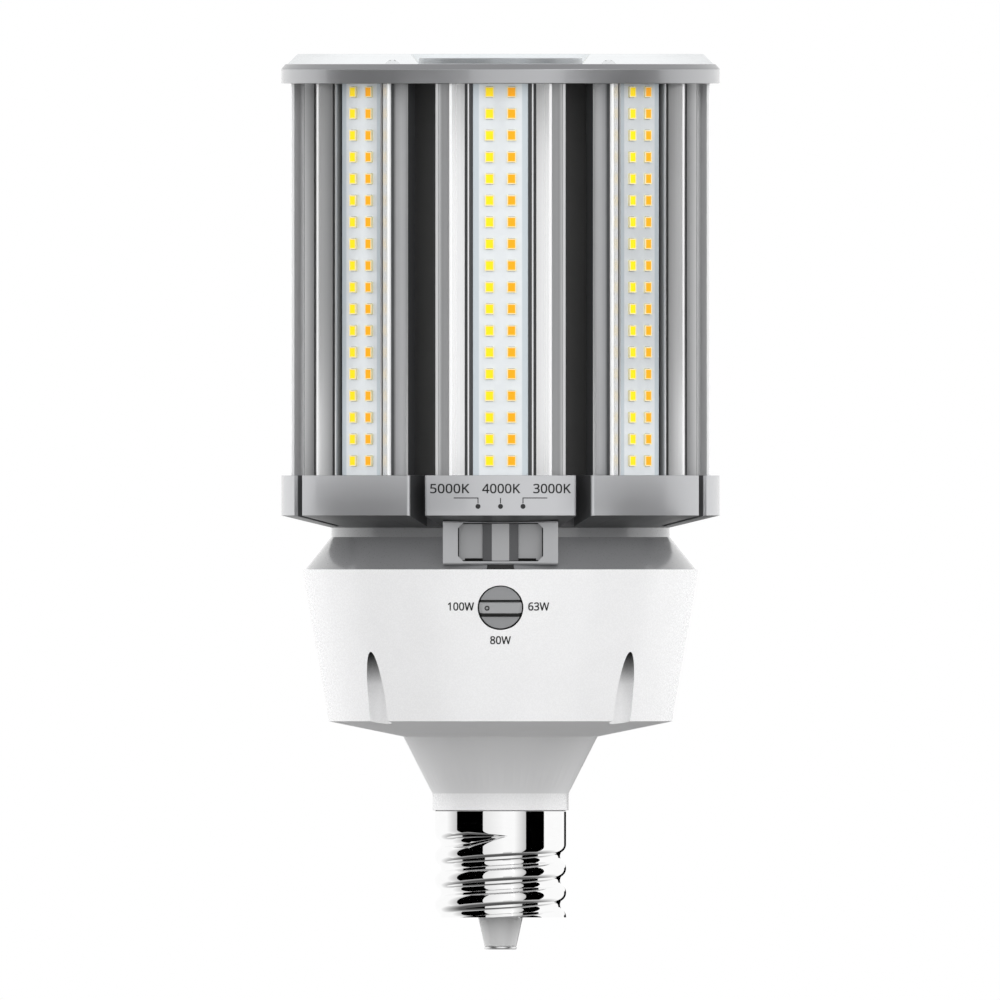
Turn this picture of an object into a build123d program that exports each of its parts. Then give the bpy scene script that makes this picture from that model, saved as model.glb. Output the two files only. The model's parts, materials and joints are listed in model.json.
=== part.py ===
from build123d import *
import os
from math import atan2, cos, degrees, radians, sin

# Upright LED lamp that screws into a socket made for discharge lamps.
# The origin is the middle of the contact tip, +Z runs up the lamp's axis, and the two
# selectors face -Y. Lengths are millimetres and angles are degrees.

# Fits
press_gap = 0.1
running_gap = 0.05
sliding_gap = 0.2
seat_gap = 0.3

# Screw base
contact_radius = 4.8
contact_height = 0.9
contact_pin_radius = 1.5
nose_tip_radius = 4.75
nose_radius = 6.6
nose_length = 9.5
shell_radius = 19.5
shell_height = 31.8
shell_wall = 0.6
shell_lip = 0.8
shell_mouth_radius = 12.0
thread_pitch = 7.2
thread_depth = 1.7
thread_root_land = 1.0
thread_mouth = 4.2
thread_turns = 3.75
thread_drop = 8.25
crest_step = 0.25
skirt_height = 5.8
insulator_thickness = 4.0

# Driver housing
housing_wall = 2.5
spigot_length = 22.0
spigot_wall = 2.6
neck_foot_radius = 20.2
neck_foot_height = 5.0
neck_radius = 28.8
neck_height = 16.9
bucket_bottom_radius = 50.9
bucket_top_radius = 58.8
bucket_floor_rise = 4.5
bucket_height = 45.1
screw_channel_inset = 8.0
screw_channel_radius = 3.7
screw_channel_wall = 1.6
screw_seat_thickness = 8.0
board_post_circle = 34.0
board_post_radius = 3.0
board_post_height = 18.0

# Wattage dial
dial_drop = 11.4
dial_radius = 6.35
dial_gap = 0.35
dial_face_recess = 0.5
dial_bar_width = 3.1
dial_bar_height = 1.3
dial_bar_chamfer = 0.9
dial_upper_groove = 0.7
dial_lower_groove = 1.25
dial_groove_depth = 1.3
dial_dimple_radius = 0.7
dial_dimple_depth = 0.4
dial_dimple_offset = 4.0
dial_flange_width = 0.9
dial_flange_thickness = 1.2
dial_shaft_radius = 2.0
dial_shaft_length = 4.6
dial_boss_wall = 1.4
dial_boss_depth = 7.0
rotary_switch_side = 17.0
rotary_switch_depth = 6.5

# Switch collar between the housing and the lamp body
collar_wall = 2.5
collar_step = 0.9
collar_cone_height = 9.6
collar_cone_inset = 7.7
collar_rim_height = 2.8
collar_spigot_length = 4.8
collar_wire_hole_radius = 30.0
collar_screw_inset = 6.7
collar_boss_radius = 4.2
collar_boss_height = 7.0

# Colour slider and its bezel
bezel_width = 34.2
bezel_setback = 0.4
bezel_bottom_rise = 1.5
bezel_top_rise = 14.3
bezel_chamfer = 0.45
finger_notch_width = 8.0
finger_notch_height = 1.6
finger_notch_depth = 1.2
window_width = 25.3
window_height = 11.4
window_bottom_rim = 0.9
window_corner = 1.6
window_depth = 1.8
window_lip = 0.8
window_groove_width = 0.35
window_groove_depth = 0.6
window_floor = 2.0
slider_travel = 6.68
slider_ridge_width = 5.0
slider_foot_width = 10.6
slider_foot_thickness = 0.4
slider_face_recess = 0.2
slider_tongue_inset = 1.6
slider_tongue_thickness = 0.6
slider_tongue_reach = 3.0
tongue_slot_height = 0.9
slide_switch_width = 28.0
slide_switch_height = 5.0
slide_switch_depth = 6.5

# Lower ring with a lobe under each strip
strip_count = 8
ring_radius = 65.1
ring_lobe_height = 11.9
ring_taper_slope = 0.24161
ring_notch_width = 4.7
ring_notch_root = 51.5
ring_lobe_round = 0.9
ring_cavity_inset = 3.0
ring_plate = 3.2
ring_wire_hole_radius = 10.0

# Heat sink extrusions and LED strips
strip_length = 116.3
core_radius = 40.0
core_wall = 2.0
seat_distance = 56.8
seat_width = 18.6
lip_thickness = 0.5
lip_height = 3.0
groove_width = 0.8
groove_height = 0.8
wing_root_height = 3.2
wing_width = 4.65
wing_rise = 2.2
wing_tip_flat = 0.35
wing_thickness = 1.0
wing_neck = 1.1
wing_hollow_round = 0.7
flange_height = 0.6
flange_thickness = 1.0
flange_width = 4.1
flange_dish = 0.35
flange_bead_width = 0.95
flange_bead_height = 0.8
flange_return = 2.2
spine_thickness = 3.0
web_thickness = 2.6
fin_pairs = 2
fin_thickness = 1.2
fin_spacing = 6.0
fin_reach = 38.5
screw_port_distance = 45.4
screw_port_wall = 1.9
board_width = 16.4
board_thickness = 1.5
led_width = 2.8
led_length = 3.4
led_height = 0.6
led_row_pitch = 6.44
led_column_spacing = 6.55
led_top_margin = 2.5
led_bottom_margin = 4.2

# Top cap, top board and lens
cap_radius = 65.1
cap_height = 5.8
cap_chamfer_width = 1.3
cap_chamfer_height = 1.5
cap_rim_width = 3.2
cap_plate = 3.2
hub_radius = 24.3
hub_rise = 1.8
hub_wall = 2.0
lens_seat_width = 1.5
lens_height = 3.0
lens_slope = 3.0
lens_inner_slope = 2.3
lens_wall = 1.2
lens_inset = 0.6
top_inner_margin = 7.2
top_outer_margin = 6.7
top_inner_count = 8
top_outer_count = 16

# Screws
screw_radius = 1.5
screw_head_radius = 2.5
screw_head_height = 2.4
screw_dome_height = 0.9
screw_dome_width = 1.2
top_screw_length = 15.0
housing_screw_length = 14.0
collar_screw_length = 10.0
screw_count = 4

# Driver parts
driver_board_radius = 40.0
driver_board_thickness = 1.6
transformer_length = 28.0
transformer_width = 23.0
transformer_height = 20.0
transformer_round = 1.5
capacitor_radius = 7.0
capacitor_height = 20.0
capacitor_spacing = 16.0
choke_radius = 9.0
choke_winding = 5.0
choke_height = 8.0
driver_parts_offset = 17.0

# Heights worked out from the stack
shell_bottom = nose_length
shell_top = shell_bottom + shell_height
neck_bottom = shell_top + neck_foot_height
neck_top = neck_bottom + neck_height
bucket_bottom = neck_top + bucket_floor_rise
housing_top = bucket_bottom + bucket_height
collar_shoulder = housing_top + collar_cone_height
ring_bottom = collar_shoulder + collar_rim_height
collar_cone_radius = bucket_top_radius - collar_step
collar_rim_radius = collar_cone_radius - collar_cone_inset
ring_taper_height = ring_taper_slope * (ring_radius - collar_rim_radius)
ring_edge = ring_bottom + ring_taper_height
strip_bottom = ring_edge + ring_lobe_height
strip_top = strip_bottom + strip_length
cap_top = strip_top + cap_height
cap_floor = strip_top + cap_plate
hub_top = cap_top + hub_rise
lens_top = cap_top + lens_height

# Places worked out from the sizes
taper = (bucket_top_radius - bucket_bottom_radius) / bucket_height
taper_angle = degrees(atan2(bucket_top_radius - bucket_bottom_radius, bucket_height))
shell_bore = shell_radius - thread_depth - shell_wall
skirt_bottom = shell_top - skirt_height
crest_radius = shell_radius - crest_step
spigot_radius = shell_bore - press_gap
spigot_bottom = shell_top - spigot_length
screw_channel_circle = bucket_top_radius - screw_channel_inset
collar_foot = housing_top - collar_spigot_length
collar_foot_radius = bucket_top_radius - housing_wall - press_gap
collar_screw_circle = collar_rim_radius - collar_screw_inset
ring_cavity_radius = collar_screw_circle - ring_cavity_inset
bezel_face = collar_cone_radius - bezel_setback
bezel_bottom = housing_top + bezel_bottom_rise
bezel_top = housing_top + bezel_top_rise
window_bottom = bezel_bottom + window_bottom_rim
slider_floor = bezel_face - window_depth
switch_face = slider_floor - window_floor
tongue_middle = window_bottom + tongue_slot_height / 2
slider_tongue_width = slider_foot_width - 2 * slider_tongue_inset
tongue_slot_width = slider_tongue_width + 2 * (slider_travel + sliding_gap)
board_face = seat_distance + board_thickness
strip_step = 360 / strip_count
screw_turn = strip_step
dial_height = housing_top - dial_drop
dial_wall_radius = bucket_top_radius - taper * dial_drop
dial_hole_radius = dial_radius + dial_gap
dial_flange_radius = dial_hole_radius + dial_flange_width
dial_boss_radius = dial_flange_radius + dial_gap + dial_boss_wall
dial_flange_top = -(housing_wall + dial_gap)
driver_board_bottom = neck_top + board_post_height
driver_board_top = driver_board_bottom + driver_board_thickness
top_board_bottom = cap_floor
top_board_top = top_board_bottom + board_thickness
screw_pilot = screw_radius + running_gap
screw_clear = screw_radius + sliding_gap
seat_half = seat_width / 2
wing_root = seat_half + lip_thickness + groove_width
wing_tip = wing_root + wing_width
wing_top = seat_distance + wing_root_height + wing_rise
flange_front = seat_distance + flange_height
flange_edge = wing_tip + flange_width
bead_side = flange_edge - flange_bead_width
hollow_side = wing_root + wing_neck
spine_back = seat_distance - spine_thickness
led_rows = 1 + int((strip_length - led_top_margin - led_bottom_margin) / led_row_pitch)
led_middle = strip_top - led_top_margin - led_row_pitch * (led_rows - 1) / 2
cap_recess_radius = cap_radius - cap_chamfer_width - cap_rim_width + lens_inset
lens_seat_radius = hub_radius + lens_seat_width
top_inner_circle = lens_seat_radius + top_inner_margin
top_outer_circle = cap_recess_radius - top_outer_margin

dial_plane = Plane(
    origin=(0, -dial_wall_radius, dial_height),
    x_dir=(1, 0, 0),
    z_dir=(0, -cos(radians(taper_angle)), -sin(radians(taper_angle))),
)


def strip_plane(number, height):
    """Level plane whose -Y side points out of a strip, counted round from the front."""
    return Plane.XY.offset(height).rotated((0, 0, strip_step * (number - 1)))


def strip_face(number, distance):
    """Upright plane that faces out of a strip at a distance from the lamp's axis."""
    turned = radians(strip_step * (number - 1))
    outward = Vector(sin(turned), -cos(turned), 0)
    return Plane(
        origin=outward * distance + Vector(0, 0, led_middle),
        x_dir=(cos(turned), sin(turned), 0),
        z_dir=outward,
    )


def screw_places(circle):
    """Four screw positions on a circle, each in line with a slanting strip."""
    return PolarLocations(circle, screw_count, start_angle=screw_turn)


os.makedirs("parts", exist_ok=True)

# Screw base
with BuildPart() as screw_shell:
    with BuildSketch(Plane.XZ):
        with BuildLine():
            Polyline(
                (shell_mouth_radius, shell_bottom),
                (crest_radius, shell_bottom),
                (crest_radius, skirt_bottom),
                (shell_radius, skirt_bottom),
                (shell_radius, shell_top),
                (shell_bore, shell_top),
                (shell_bore, shell_bottom + shell_lip),
                (shell_mouth_radius, shell_bottom + shell_lip),
                close=True,
            )
        make_face()
    revolve(axis=Axis.Z)
    thread_root = shell_radius - thread_depth
    thread_length = thread_turns * thread_pitch
    with BuildLine() as thread_path:
        Helix(thread_pitch, thread_length, thread_root, center=(0, 0, shell_top - thread_drop - thread_length))
    flank = (thread_mouth - thread_root_land) / 2 / thread_depth
    overcut = thread_depth + shell_wall
    for end in (0, 1):
        place = thread_path.line @ end
        heading = thread_path.line % end
        with BuildSketch(Plane(place, x_dir=(place.X, place.Y, 0), z_dir=heading)):
            with BuildLine():
                Polyline(
                    (overcut, thread_root_land / 2 + flank * overcut),
                    (0, thread_root_land / 2),
                    (0, -thread_root_land / 2),
                    (overcut, -thread_root_land / 2 - flank * overcut),
                    close=True,
                )
            make_face()
        if end == 0:
            sweep(path=thread_path.line, is_frenet=True, mode=Mode.SUBTRACT)
        else:
            extrude(amount=thread_root / 2, mode=Mode.SUBTRACT)
screw_shell.part.label = "screw_shell"
export_step(screw_shell.part, "parts/screw_shell.step")

with BuildPart() as base_insulator:
    insulator_floor = shell_bottom + shell_lip
    with BuildSketch(Plane.XZ):
        with BuildLine():
            Polyline(
                (0, contact_height),
                (nose_tip_radius, contact_height),
                (nose_radius, shell_bottom),
                (shell_mouth_radius - press_gap, shell_bottom),
                (shell_mouth_radius - press_gap, insulator_floor),
                (shell_bore - press_gap, insulator_floor),
                (shell_bore - press_gap, insulator_floor + insulator_thickness),
                (0, insulator_floor + insulator_thickness),
                close=True,
            )
        make_face()
    revolve(axis=Axis.Z)
    with BuildSketch(Plane.XY.offset(contact_height)):
        Circle(contact_pin_radius + press_gap)
    extrude(amount=insulator_floor + insulator_thickness - contact_height, mode=Mode.SUBTRACT)
base_insulator.part.label = "base_insulator"
export_step(base_insulator.part, "parts/base_insulator.step")

with BuildPart() as centre_contact:
    with BuildSketch(Plane.XY):
        Circle(contact_radius)
    extrude(amount=contact_height)
    with BuildSketch(Plane.XY.offset(contact_height)):
        Circle(contact_pin_radius)
    extrude(amount=nose_length + shell_lip + insulator_thickness - contact_height)
    chamfer(centre_contact.edges().filter_by(GeomType.CIRCLE).sort_by(Axis.Z)[0], contact_height / 3)
centre_contact.part.label = "centre_contact"
export_step(centre_contact.part, "parts/centre_contact.step")

# Driver housing: one moulding, from the mouth down to the spigot inside the screw shell
with BuildPart() as housing_cavity:
    with BuildSketch(Plane.XZ):
        with BuildLine():
            Polyline(
                (0, spigot_bottom),
                (spigot_radius - spigot_wall, spigot_bottom),
                (spigot_radius - spigot_wall, neck_bottom),
                (neck_radius - housing_wall, neck_top + housing_wall),
                (bucket_bottom_radius - housing_wall, bucket_bottom + housing_wall),
                (bucket_top_radius - housing_wall, housing_top),
                (0, housing_top),
                close=True,
            )
        make_face()
    revolve(axis=Axis.Z)
    with BuildSketch(Plane.XY.offset(collar_foot)):
        with screw_places(screw_channel_circle):
            Circle(screw_channel_radius + screw_channel_wall)
    extrude(amount=spigot_bottom - collar_foot, mode=Mode.SUBTRACT)
    with BuildSketch(Plane.XY.offset(driver_board_bottom)):
        with PolarLocations(board_post_circle, screw_count):
            Circle(board_post_radius)
    extrude(amount=spigot_bottom - driver_board_bottom, mode=Mode.SUBTRACT)
    with BuildSketch(dial_plane.offset(-dial_boss_depth)):
        Circle(dial_boss_radius)
    extrude(amount=dial_boss_depth + dial_boss_radius, mode=Mode.SUBTRACT)

with BuildPart() as driver_housing:
    with BuildSketch(Plane.XZ):
        with BuildLine():
            Polyline(
                (0, spigot_bottom),
                (spigot_radius, spigot_bottom),
                (spigot_radius, shell_top),
                (neck_foot_radius, shell_top),
                (neck_foot_radius, neck_bottom),
                (neck_radius, neck_top),
                (bucket_bottom_radius, bucket_bottom),
                (bucket_top_radius, housing_top),
                (0, housing_top),
                close=True,
            )
        make_face()
    revolve(axis=Axis.Z)
    add(housing_cavity.part, mode=Mode.SUBTRACT)
    screw_seat = collar_foot - screw_seat_thickness
    with BuildSketch(Plane.XY.offset(screw_seat)):
        with screw_places(screw_channel_circle):
            Circle(screw_channel_radius)
    extrude(amount=neck_top - screw_seat, mode=Mode.SUBTRACT)
    with BuildSketch(Plane.XY.offset(screw_seat)):
        with screw_places(screw_channel_circle):
            Circle(screw_clear)
    extrude(amount=screw_seat_thickness, mode=Mode.SUBTRACT)
    with BuildSketch(dial_plane.offset(-dial_boss_depth)):
        Circle(dial_hole_radius)
    extrude(amount=dial_boss_depth + dial_boss_radius, mode=Mode.SUBTRACT)
    with BuildSketch(dial_plane.offset(-dial_boss_depth)):
        Circle(dial_flange_radius + dial_gap)
    extrude(amount=dial_boss_depth - housing_wall, mode=Mode.SUBTRACT)
driver_housing.part.label = "driver_housing"
export_step(driver_housing.part, "parts/driver_housing.step")

# Wattage dial: flush disc with a grip bar, held behind the wall by its flange
with BuildPart() as wattage_dial:
    with BuildSketch(dial_plane.offset(dial_flange_top)):
        Circle(dial_radius)
    extrude(amount=-dial_flange_top - dial_face_recess)
    with BuildSketch(dial_plane.offset(dial_flange_top)):
        Circle(dial_flange_radius)
    extrude(amount=-dial_flange_thickness)
    with BuildSketch(dial_plane.offset(dial_flange_top - dial_flange_thickness)):
        Circle(dial_shaft_radius)
    extrude(amount=-dial_shaft_length)
    with BuildSketch(dial_plane.offset(-dial_face_recess)):
        Circle(dial_radius)
        Rectangle(2 * dial_radius, dial_bar_width, mode=Mode.INTERSECT)
    extrude(amount=dial_bar_height)
    bar_top = wattage_dial.faces().sort_by(Axis(dial_plane.origin, dial_plane.z_dir))[-1]
    chamfer(bar_top.edges().filter_by(GeomType.CIRCLE), dial_bar_chamfer)
    for side, groove in ((1, dial_upper_groove), (-1, dial_lower_groove)):
        with BuildSketch(dial_plane.offset(-dial_face_recess)):
            Circle(dial_radius)
            with Locations((0, side * (dial_bar_width + groove) / 2)):
                Rectangle(2 * dial_radius, groove, mode=Mode.INTERSECT)
        extrude(amount=-dial_groove_depth, mode=Mode.SUBTRACT)
    with BuildSketch(dial_plane.offset(dial_bar_height - dial_face_recess)):
        with Locations((-dial_dimple_offset, 0)):
            Circle(dial_dimple_radius)
    extrude(amount=-dial_dimple_depth, mode=Mode.SUBTRACT)
wattage_dial.part.label = "wattage_dial"
export_step(wattage_dial.part, "parts/wattage_dial.step")

with BuildPart() as wattage_switch:
    with BuildSketch(dial_plane.offset(-dial_boss_depth)):
        Rectangle(rotary_switch_side, rotary_switch_side)
    extrude(amount=-rotary_switch_depth)
    with BuildSketch(dial_plane.offset(-dial_boss_depth)):
        Circle(dial_shaft_radius + running_gap)
    shaft_end = dial_flange_top - dial_flange_thickness - dial_shaft_length
    extrude(amount=shaft_end + dial_boss_depth - sliding_gap, mode=Mode.SUBTRACT)
wattage_switch.part.label = "wattage_switch"
export_step(wattage_switch.part, "parts/wattage_switch.step")

with BuildPart() as housing_screws:
    with BuildSketch(Plane.XY.offset(screw_seat)):
        with screw_places(screw_channel_circle):
            Circle(screw_head_radius)
    extrude(amount=-screw_head_height)
    with BuildSketch(Plane.XY.offset(screw_seat)):
        with screw_places(screw_channel_circle):
            Circle(screw_radius)
    extrude(amount=housing_screw_length)
housing_screws.part.label = "housing_screws"
export_step(housing_screws.part, "parts/housing_screws.step")

# Switch collar: hollow cone with the slider's bezel on its front
with BuildPart() as switch_collar:
    with BuildSketch(Plane.XZ):
        with BuildLine():
            Polyline(
                (0, collar_shoulder),
                (collar_rim_radius, collar_shoulder),
                (collar_cone_radius, housing_top),
                (collar_foot_radius, housing_top),
                (collar_foot_radius - taper * collar_spigot_length, collar_foot),
                (0, collar_foot),
                close=True,
            )
        make_face()
    revolve(axis=Axis.Z)
    with BuildSketch(Plane.XY.offset(collar_shoulder)):
        Circle(collar_rim_radius)
    extrude(amount=collar_rim_height)
    with BuildSketch(Plane.XZ.offset(collar_cone_radius)):
        with Locations((0, bezel_bottom)):
            Ellipse(finger_notch_width / 2, finger_notch_height)
    extrude(amount=-finger_notch_depth - collar_cone_radius + bezel_face, mode=Mode.SUBTRACT)
    with BuildSketch(Plane.YZ):
        with BuildLine():
            Polyline(
                (0, bezel_bottom),
                (-bezel_face + bezel_chamfer, bezel_bottom),
                (-bezel_face, bezel_bottom + bezel_chamfer),
                (-bezel_face, bezel_top - bezel_chamfer),
                (-bezel_face + bezel_chamfer, bezel_top),
                (0, bezel_top),
                close=True,
            )
        make_face()
    extrude(amount=bezel_width / 2, both=True)
    with BuildSketch(Plane.XZ):
        with BuildLine():
            Polyline(
                (collar_rim_radius, ring_bottom),
                (ring_radius, ring_edge - seat_gap),
                (ring_radius, bezel_top + ring_taper_height),
                (0, bezel_top + ring_taper_height),
                (0, ring_bottom),
                close=True,
            )
        make_face()
    revolve(axis=Axis.Z, mode=Mode.SUBTRACT)
    with BuildSketch(Plane.XZ):
        with BuildLine():
            Polyline(
                (0, collar_foot),
                (collar_foot_radius - taper * collar_spigot_length - collar_wall, collar_foot),
                (collar_foot_radius - collar_wall, housing_top),
                (collar_rim_radius - collar_wall, collar_shoulder),
                (0, collar_shoulder),
                close=True,
            )
        make_face()
    revolve(axis=Axis.Z, mode=Mode.SUBTRACT)
    with BuildSketch(Plane.XY.offset(collar_foot)):
        with screw_places(screw_channel_circle):
            Circle(collar_boss_radius)
    extrude(amount=collar_boss_height)
    with BuildSketch(Plane.XY.offset(collar_foot)):
        with screw_places(screw_channel_circle):
            Circle(screw_pilot)
    extrude(amount=housing_screw_length - screw_seat_thickness + seat_gap, mode=Mode.SUBTRACT)
    with BuildSketch(Plane.XY.offset(collar_foot)):
        with Locations((0, -dial_wall_radius)):
            Rectangle(2 * (dial_boss_radius + seat_gap), dial_wall_radius)
    extrude(amount=collar_spigot_length, mode=Mode.SUBTRACT)
    with BuildSketch(Plane.XY.offset(collar_shoulder)):
        Circle(collar_wire_hole_radius)
        with screw_places(collar_screw_circle):
            Circle(screw_clear)
    extrude(amount=collar_rim_height, mode=Mode.SUBTRACT)
    with BuildSketch(Plane.XZ.offset(bezel_face)) as window:
        with Locations((0, window_bottom + window_height / 2)):
            Rectangle(window_width, window_height)
        chamfer(window.vertices(), window_corner)
    extrude(amount=-window_lip, mode=Mode.SUBTRACT)
    with BuildSketch(Plane.XZ.offset(bezel_face - window_lip)):
        with Locations((0, window_bottom + window_height / 2)):
            Rectangle(window_width, window_height)
    extrude(amount=window_lip - window_depth, mode=Mode.SUBTRACT)
    with BuildSketch(Plane.XZ.offset(slider_floor)):
        with Locations((0, window_bottom + window_height / 2)):
            Rectangle(window_width, window_height)
            Rectangle(
                window_width - 2 * window_groove_width,
                window_height - 2 * window_groove_width,
                mode=Mode.SUBTRACT,
            )
    extrude(amount=-window_groove_depth, mode=Mode.SUBTRACT)
    with BuildSketch(Plane.XZ.offset(slider_floor)):
        with Locations((0, tongue_middle)):
            Rectangle(tongue_slot_width, tongue_slot_height)
    extrude(amount=-window_floor, mode=Mode.SUBTRACT)
    with BuildSketch(Plane.XZ.offset(switch_face)):
        with Locations((0, tongue_middle)):
            Rectangle(slide_switch_width + 2 * sliding_gap, slide_switch_height + 2 * sliding_gap)
    extrude(amount=-(switch_face - collar_wire_hole_radius), mode=Mode.SUBTRACT)
switch_collar.part.label = "switch_collar"
export_step(switch_collar.part, "parts/switch_collar.step")

# Colour slider: ridge with slanting flanks, whose tongue passes under the window's floor to the switch
with BuildPart() as cct_slider:
    slider_back = slider_floor + press_gap
    slider_front = bezel_face - slider_face_recess
    slider_bottom = tongue_middle - slider_tongue_thickness / 2
    slider_height = window_bottom + window_height - sliding_gap - slider_bottom
    with BuildSketch(Plane.XY.offset(slider_bottom)):
        with BuildLine():
            Polyline(
                (-slider_foot_width / 2, -slider_back),
                (-slider_foot_width / 2, -slider_back - slider_foot_thickness),
                (-slider_ridge_width / 2, -slider_front),
                (slider_ridge_width / 2, -slider_front),
                (slider_foot_width / 2, -slider_back - slider_foot_thickness),
                (slider_foot_width / 2, -slider_back),
                close=True,
            )
        make_face()
    extrude(amount=slider_height)
    with BuildSketch(Plane.XZ.offset(slider_back)):
        with Locations((0, tongue_middle)):
            Rectangle(slider_tongue_width, slider_tongue_thickness)
    extrude(amount=-(slider_back - switch_face + slider_tongue_reach))
cct_slider.part.label = "cct_slider"
export_step(cct_slider.part, "parts/cct_slider.step")

with BuildPart() as cct_switch:
    with BuildSketch(Plane.XZ.offset(switch_face)):
        with Locations((0, tongue_middle)):
            Rectangle(slide_switch_width, slide_switch_height)
    extrude(amount=-slide_switch_depth)
    with BuildSketch(Plane.XZ.offset(switch_face)):
        with Locations((0, tongue_middle)):
            Rectangle(tongue_slot_width, tongue_slot_height)
    extrude(amount=-slider_tongue_reach - sliding_gap, mode=Mode.SUBTRACT)
cct_switch.part.label = "cct_switch"
export_step(cct_switch.part, "parts/cct_switch.step")

# Lower ring: notched into one lobe for each strip, tapered underneath
with BuildPart() as lower_ring:
    with BuildSketch(Plane.XY.offset(ring_bottom)) as lobes:
        Circle(ring_radius)
        with PolarLocations(ring_notch_root + ring_radius / 2, strip_count, start_angle=strip_step / 2):
            Rectangle(ring_radius, ring_notch_width, mode=Mode.SUBTRACT)
        corners = [v for v in lobes.vertices() if Vector(v.X, v.Y).length > ring_radius - ring_lobe_round]
        fillet(corners, ring_lobe_round)
    extrude(amount=strip_bottom - ring_bottom)
    with BuildSketch(Plane.XZ):
        with BuildLine():
            Polyline(
                (0, ring_bottom),
                (collar_rim_radius, ring_bottom),
                (ring_radius, ring_edge),
                (ring_radius, strip_bottom),
                (0, strip_bottom),
                close=True,
            )
        make_face()
    revolve(axis=Axis.Z, mode=Mode.INTERSECT)
    with BuildSketch(Plane.XY.offset(ring_bottom)):
        Circle(ring_cavity_radius)
    extrude(amount=strip_bottom - ring_bottom - ring_plate, mode=Mode.SUBTRACT)
    with BuildSketch(Plane.XY.offset(strip_bottom - ring_plate)):
        Circle(ring_wire_hole_radius)
    extrude(amount=ring_plate, mode=Mode.SUBTRACT)
    with BuildSketch(Plane.XY.offset(ring_bottom)):
        with screw_places(collar_screw_circle):
            Circle(screw_pilot)
    extrude(amount=collar_screw_length - collar_rim_height + seat_gap, mode=Mode.SUBTRACT)
lower_ring.part.label = "lower_ring"
export_step(lower_ring.part, "parts/lower_ring.step")

with BuildPart() as collar_screws:
    with BuildSketch(Plane.XY.offset(collar_shoulder)):
        with screw_places(collar_screw_circle):
            Circle(screw_head_radius)
    extrude(amount=-screw_head_height)
    with BuildSketch(Plane.XY.offset(collar_shoulder)):
        with screw_places(collar_screw_circle):
            Circle(screw_radius)
    extrude(amount=collar_screw_length)
collar_screws.part.label = "collar_screws"
export_step(collar_screws.part, "parts/collar_screws.step")

with BuildPart() as core_tube:
    with BuildSketch(Plane.XY.offset(strip_bottom)):
        Circle(core_radius)
        Circle(core_radius - core_wall, mode=Mode.SUBTRACT)
    extrude(amount=strip_length)
core_tube.part.label = "core_tube"
export_step(core_tube.part, "parts/core_tube.step")

# Lamp body: eight extrusions, each with its board and two columns of LEDs
for number in range(1, strip_count + 1):
    with BuildPart() as heat_sink:
        with BuildSketch(strip_plane(number, strip_bottom)):
            with BuildLine():
                groove_side = wing_root - groove_width
                lip_top = seat_distance + lip_height
                wing_edge = (wing_tip, -wing_top + wing_tip_flat)
                wing_underside = seat_distance + wing_root_height - wing_thickness / 2
                hollow_top = (hollow_side + wing_hollow_round, -wing_underside)
                hollow_foot = (hollow_side + wing_hollow_round, -flange_front)
                Polyline(
                    (0, -spine_back),
                    (0, -seat_distance),
                    (seat_half, -seat_distance),
                    (seat_half, -lip_top),
                    (groove_side, -lip_top),
                    (groove_side, -seat_distance - groove_height),
                    (wing_root, -seat_distance - groove_height),
                    (wing_root, -seat_distance - wing_root_height),
                    (wing_tip - wing_tip_flat, -wing_top),
                    wing_edge,
                    (wing_tip, -wing_top + wing_thickness),
                    hollow_top,
                )
                ThreePointArc(hollow_top, (hollow_side, (hollow_top[1] + hollow_foot[1]) / 2), hollow_foot)
                dish = ((hollow_foot[0] + bead_side) / 2, -flange_front + flange_dish)
                ThreePointArc(hollow_foot, dish, (bead_side, -flange_front))
                Polyline(
                    (bead_side, -flange_front),
                    (bead_side, -flange_front - flange_bead_height),
                    (flange_edge, -flange_front - flange_bead_height),
                    (flange_edge, -flange_front + flange_return),
                    (bead_side, -flange_front + flange_return),
                    (bead_side, -flange_front + flange_thickness),
                    (wing_tip, -flange_front + flange_thickness),
                    (wing_tip, -spine_back),
                    (0, -spine_back),
                )
            make_face()
            mirror(about=Plane.YZ)
            web_end = core_radius + seat_gap
            with Locations((0, -(web_end + spine_back) / 2)):
                Rectangle(web_thickness, spine_back - web_end)
            for fin in range(1, fin_pairs + 1):
                fin_end = fin_reach + fin * fin_spacing
                with Locations((0, -(fin_end + seat_distance) / 2)):
                    with GridLocations(2 * fin * fin_spacing, seat_distance, 2, 1):
                        Rectangle(fin_thickness, seat_distance - fin_end)
            with Locations((0, -screw_port_distance)):
                Circle(screw_pilot + screw_port_wall)
                Circle(screw_pilot, mode=Mode.SUBTRACT)
        extrude(amount=strip_length)
    heat_sink.part.label = f"heat_sink_{number}"
    export_step(heat_sink.part, f"parts/heat_sink_{number}.step")

    with BuildPart() as led_board:
        with BuildSketch(strip_plane(number, strip_bottom)):
            with Locations((0, -seat_distance - board_thickness / 2)):
                Rectangle(board_width, board_thickness)
        extrude(amount=strip_length)
    led_board.part.label = f"led_board_{number}"
    export_step(led_board.part, f"parts/led_board_{number}.step")

    for tint, side in (("cool", -1), ("warm", 1)):
        with BuildPart() as leds:
            with BuildSketch(strip_face(number, board_face)):
                with Locations((side * led_column_spacing / 2, 0)):
                    with GridLocations(led_column_spacing, led_row_pitch, 1, led_rows):
                        Rectangle(led_width, led_length)
            extrude(amount=led_height)
        leds.part.label = f"{tint}_leds_{number}"
        export_step(leds.part, f"parts/{tint}_leds_{number}.step")

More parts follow.
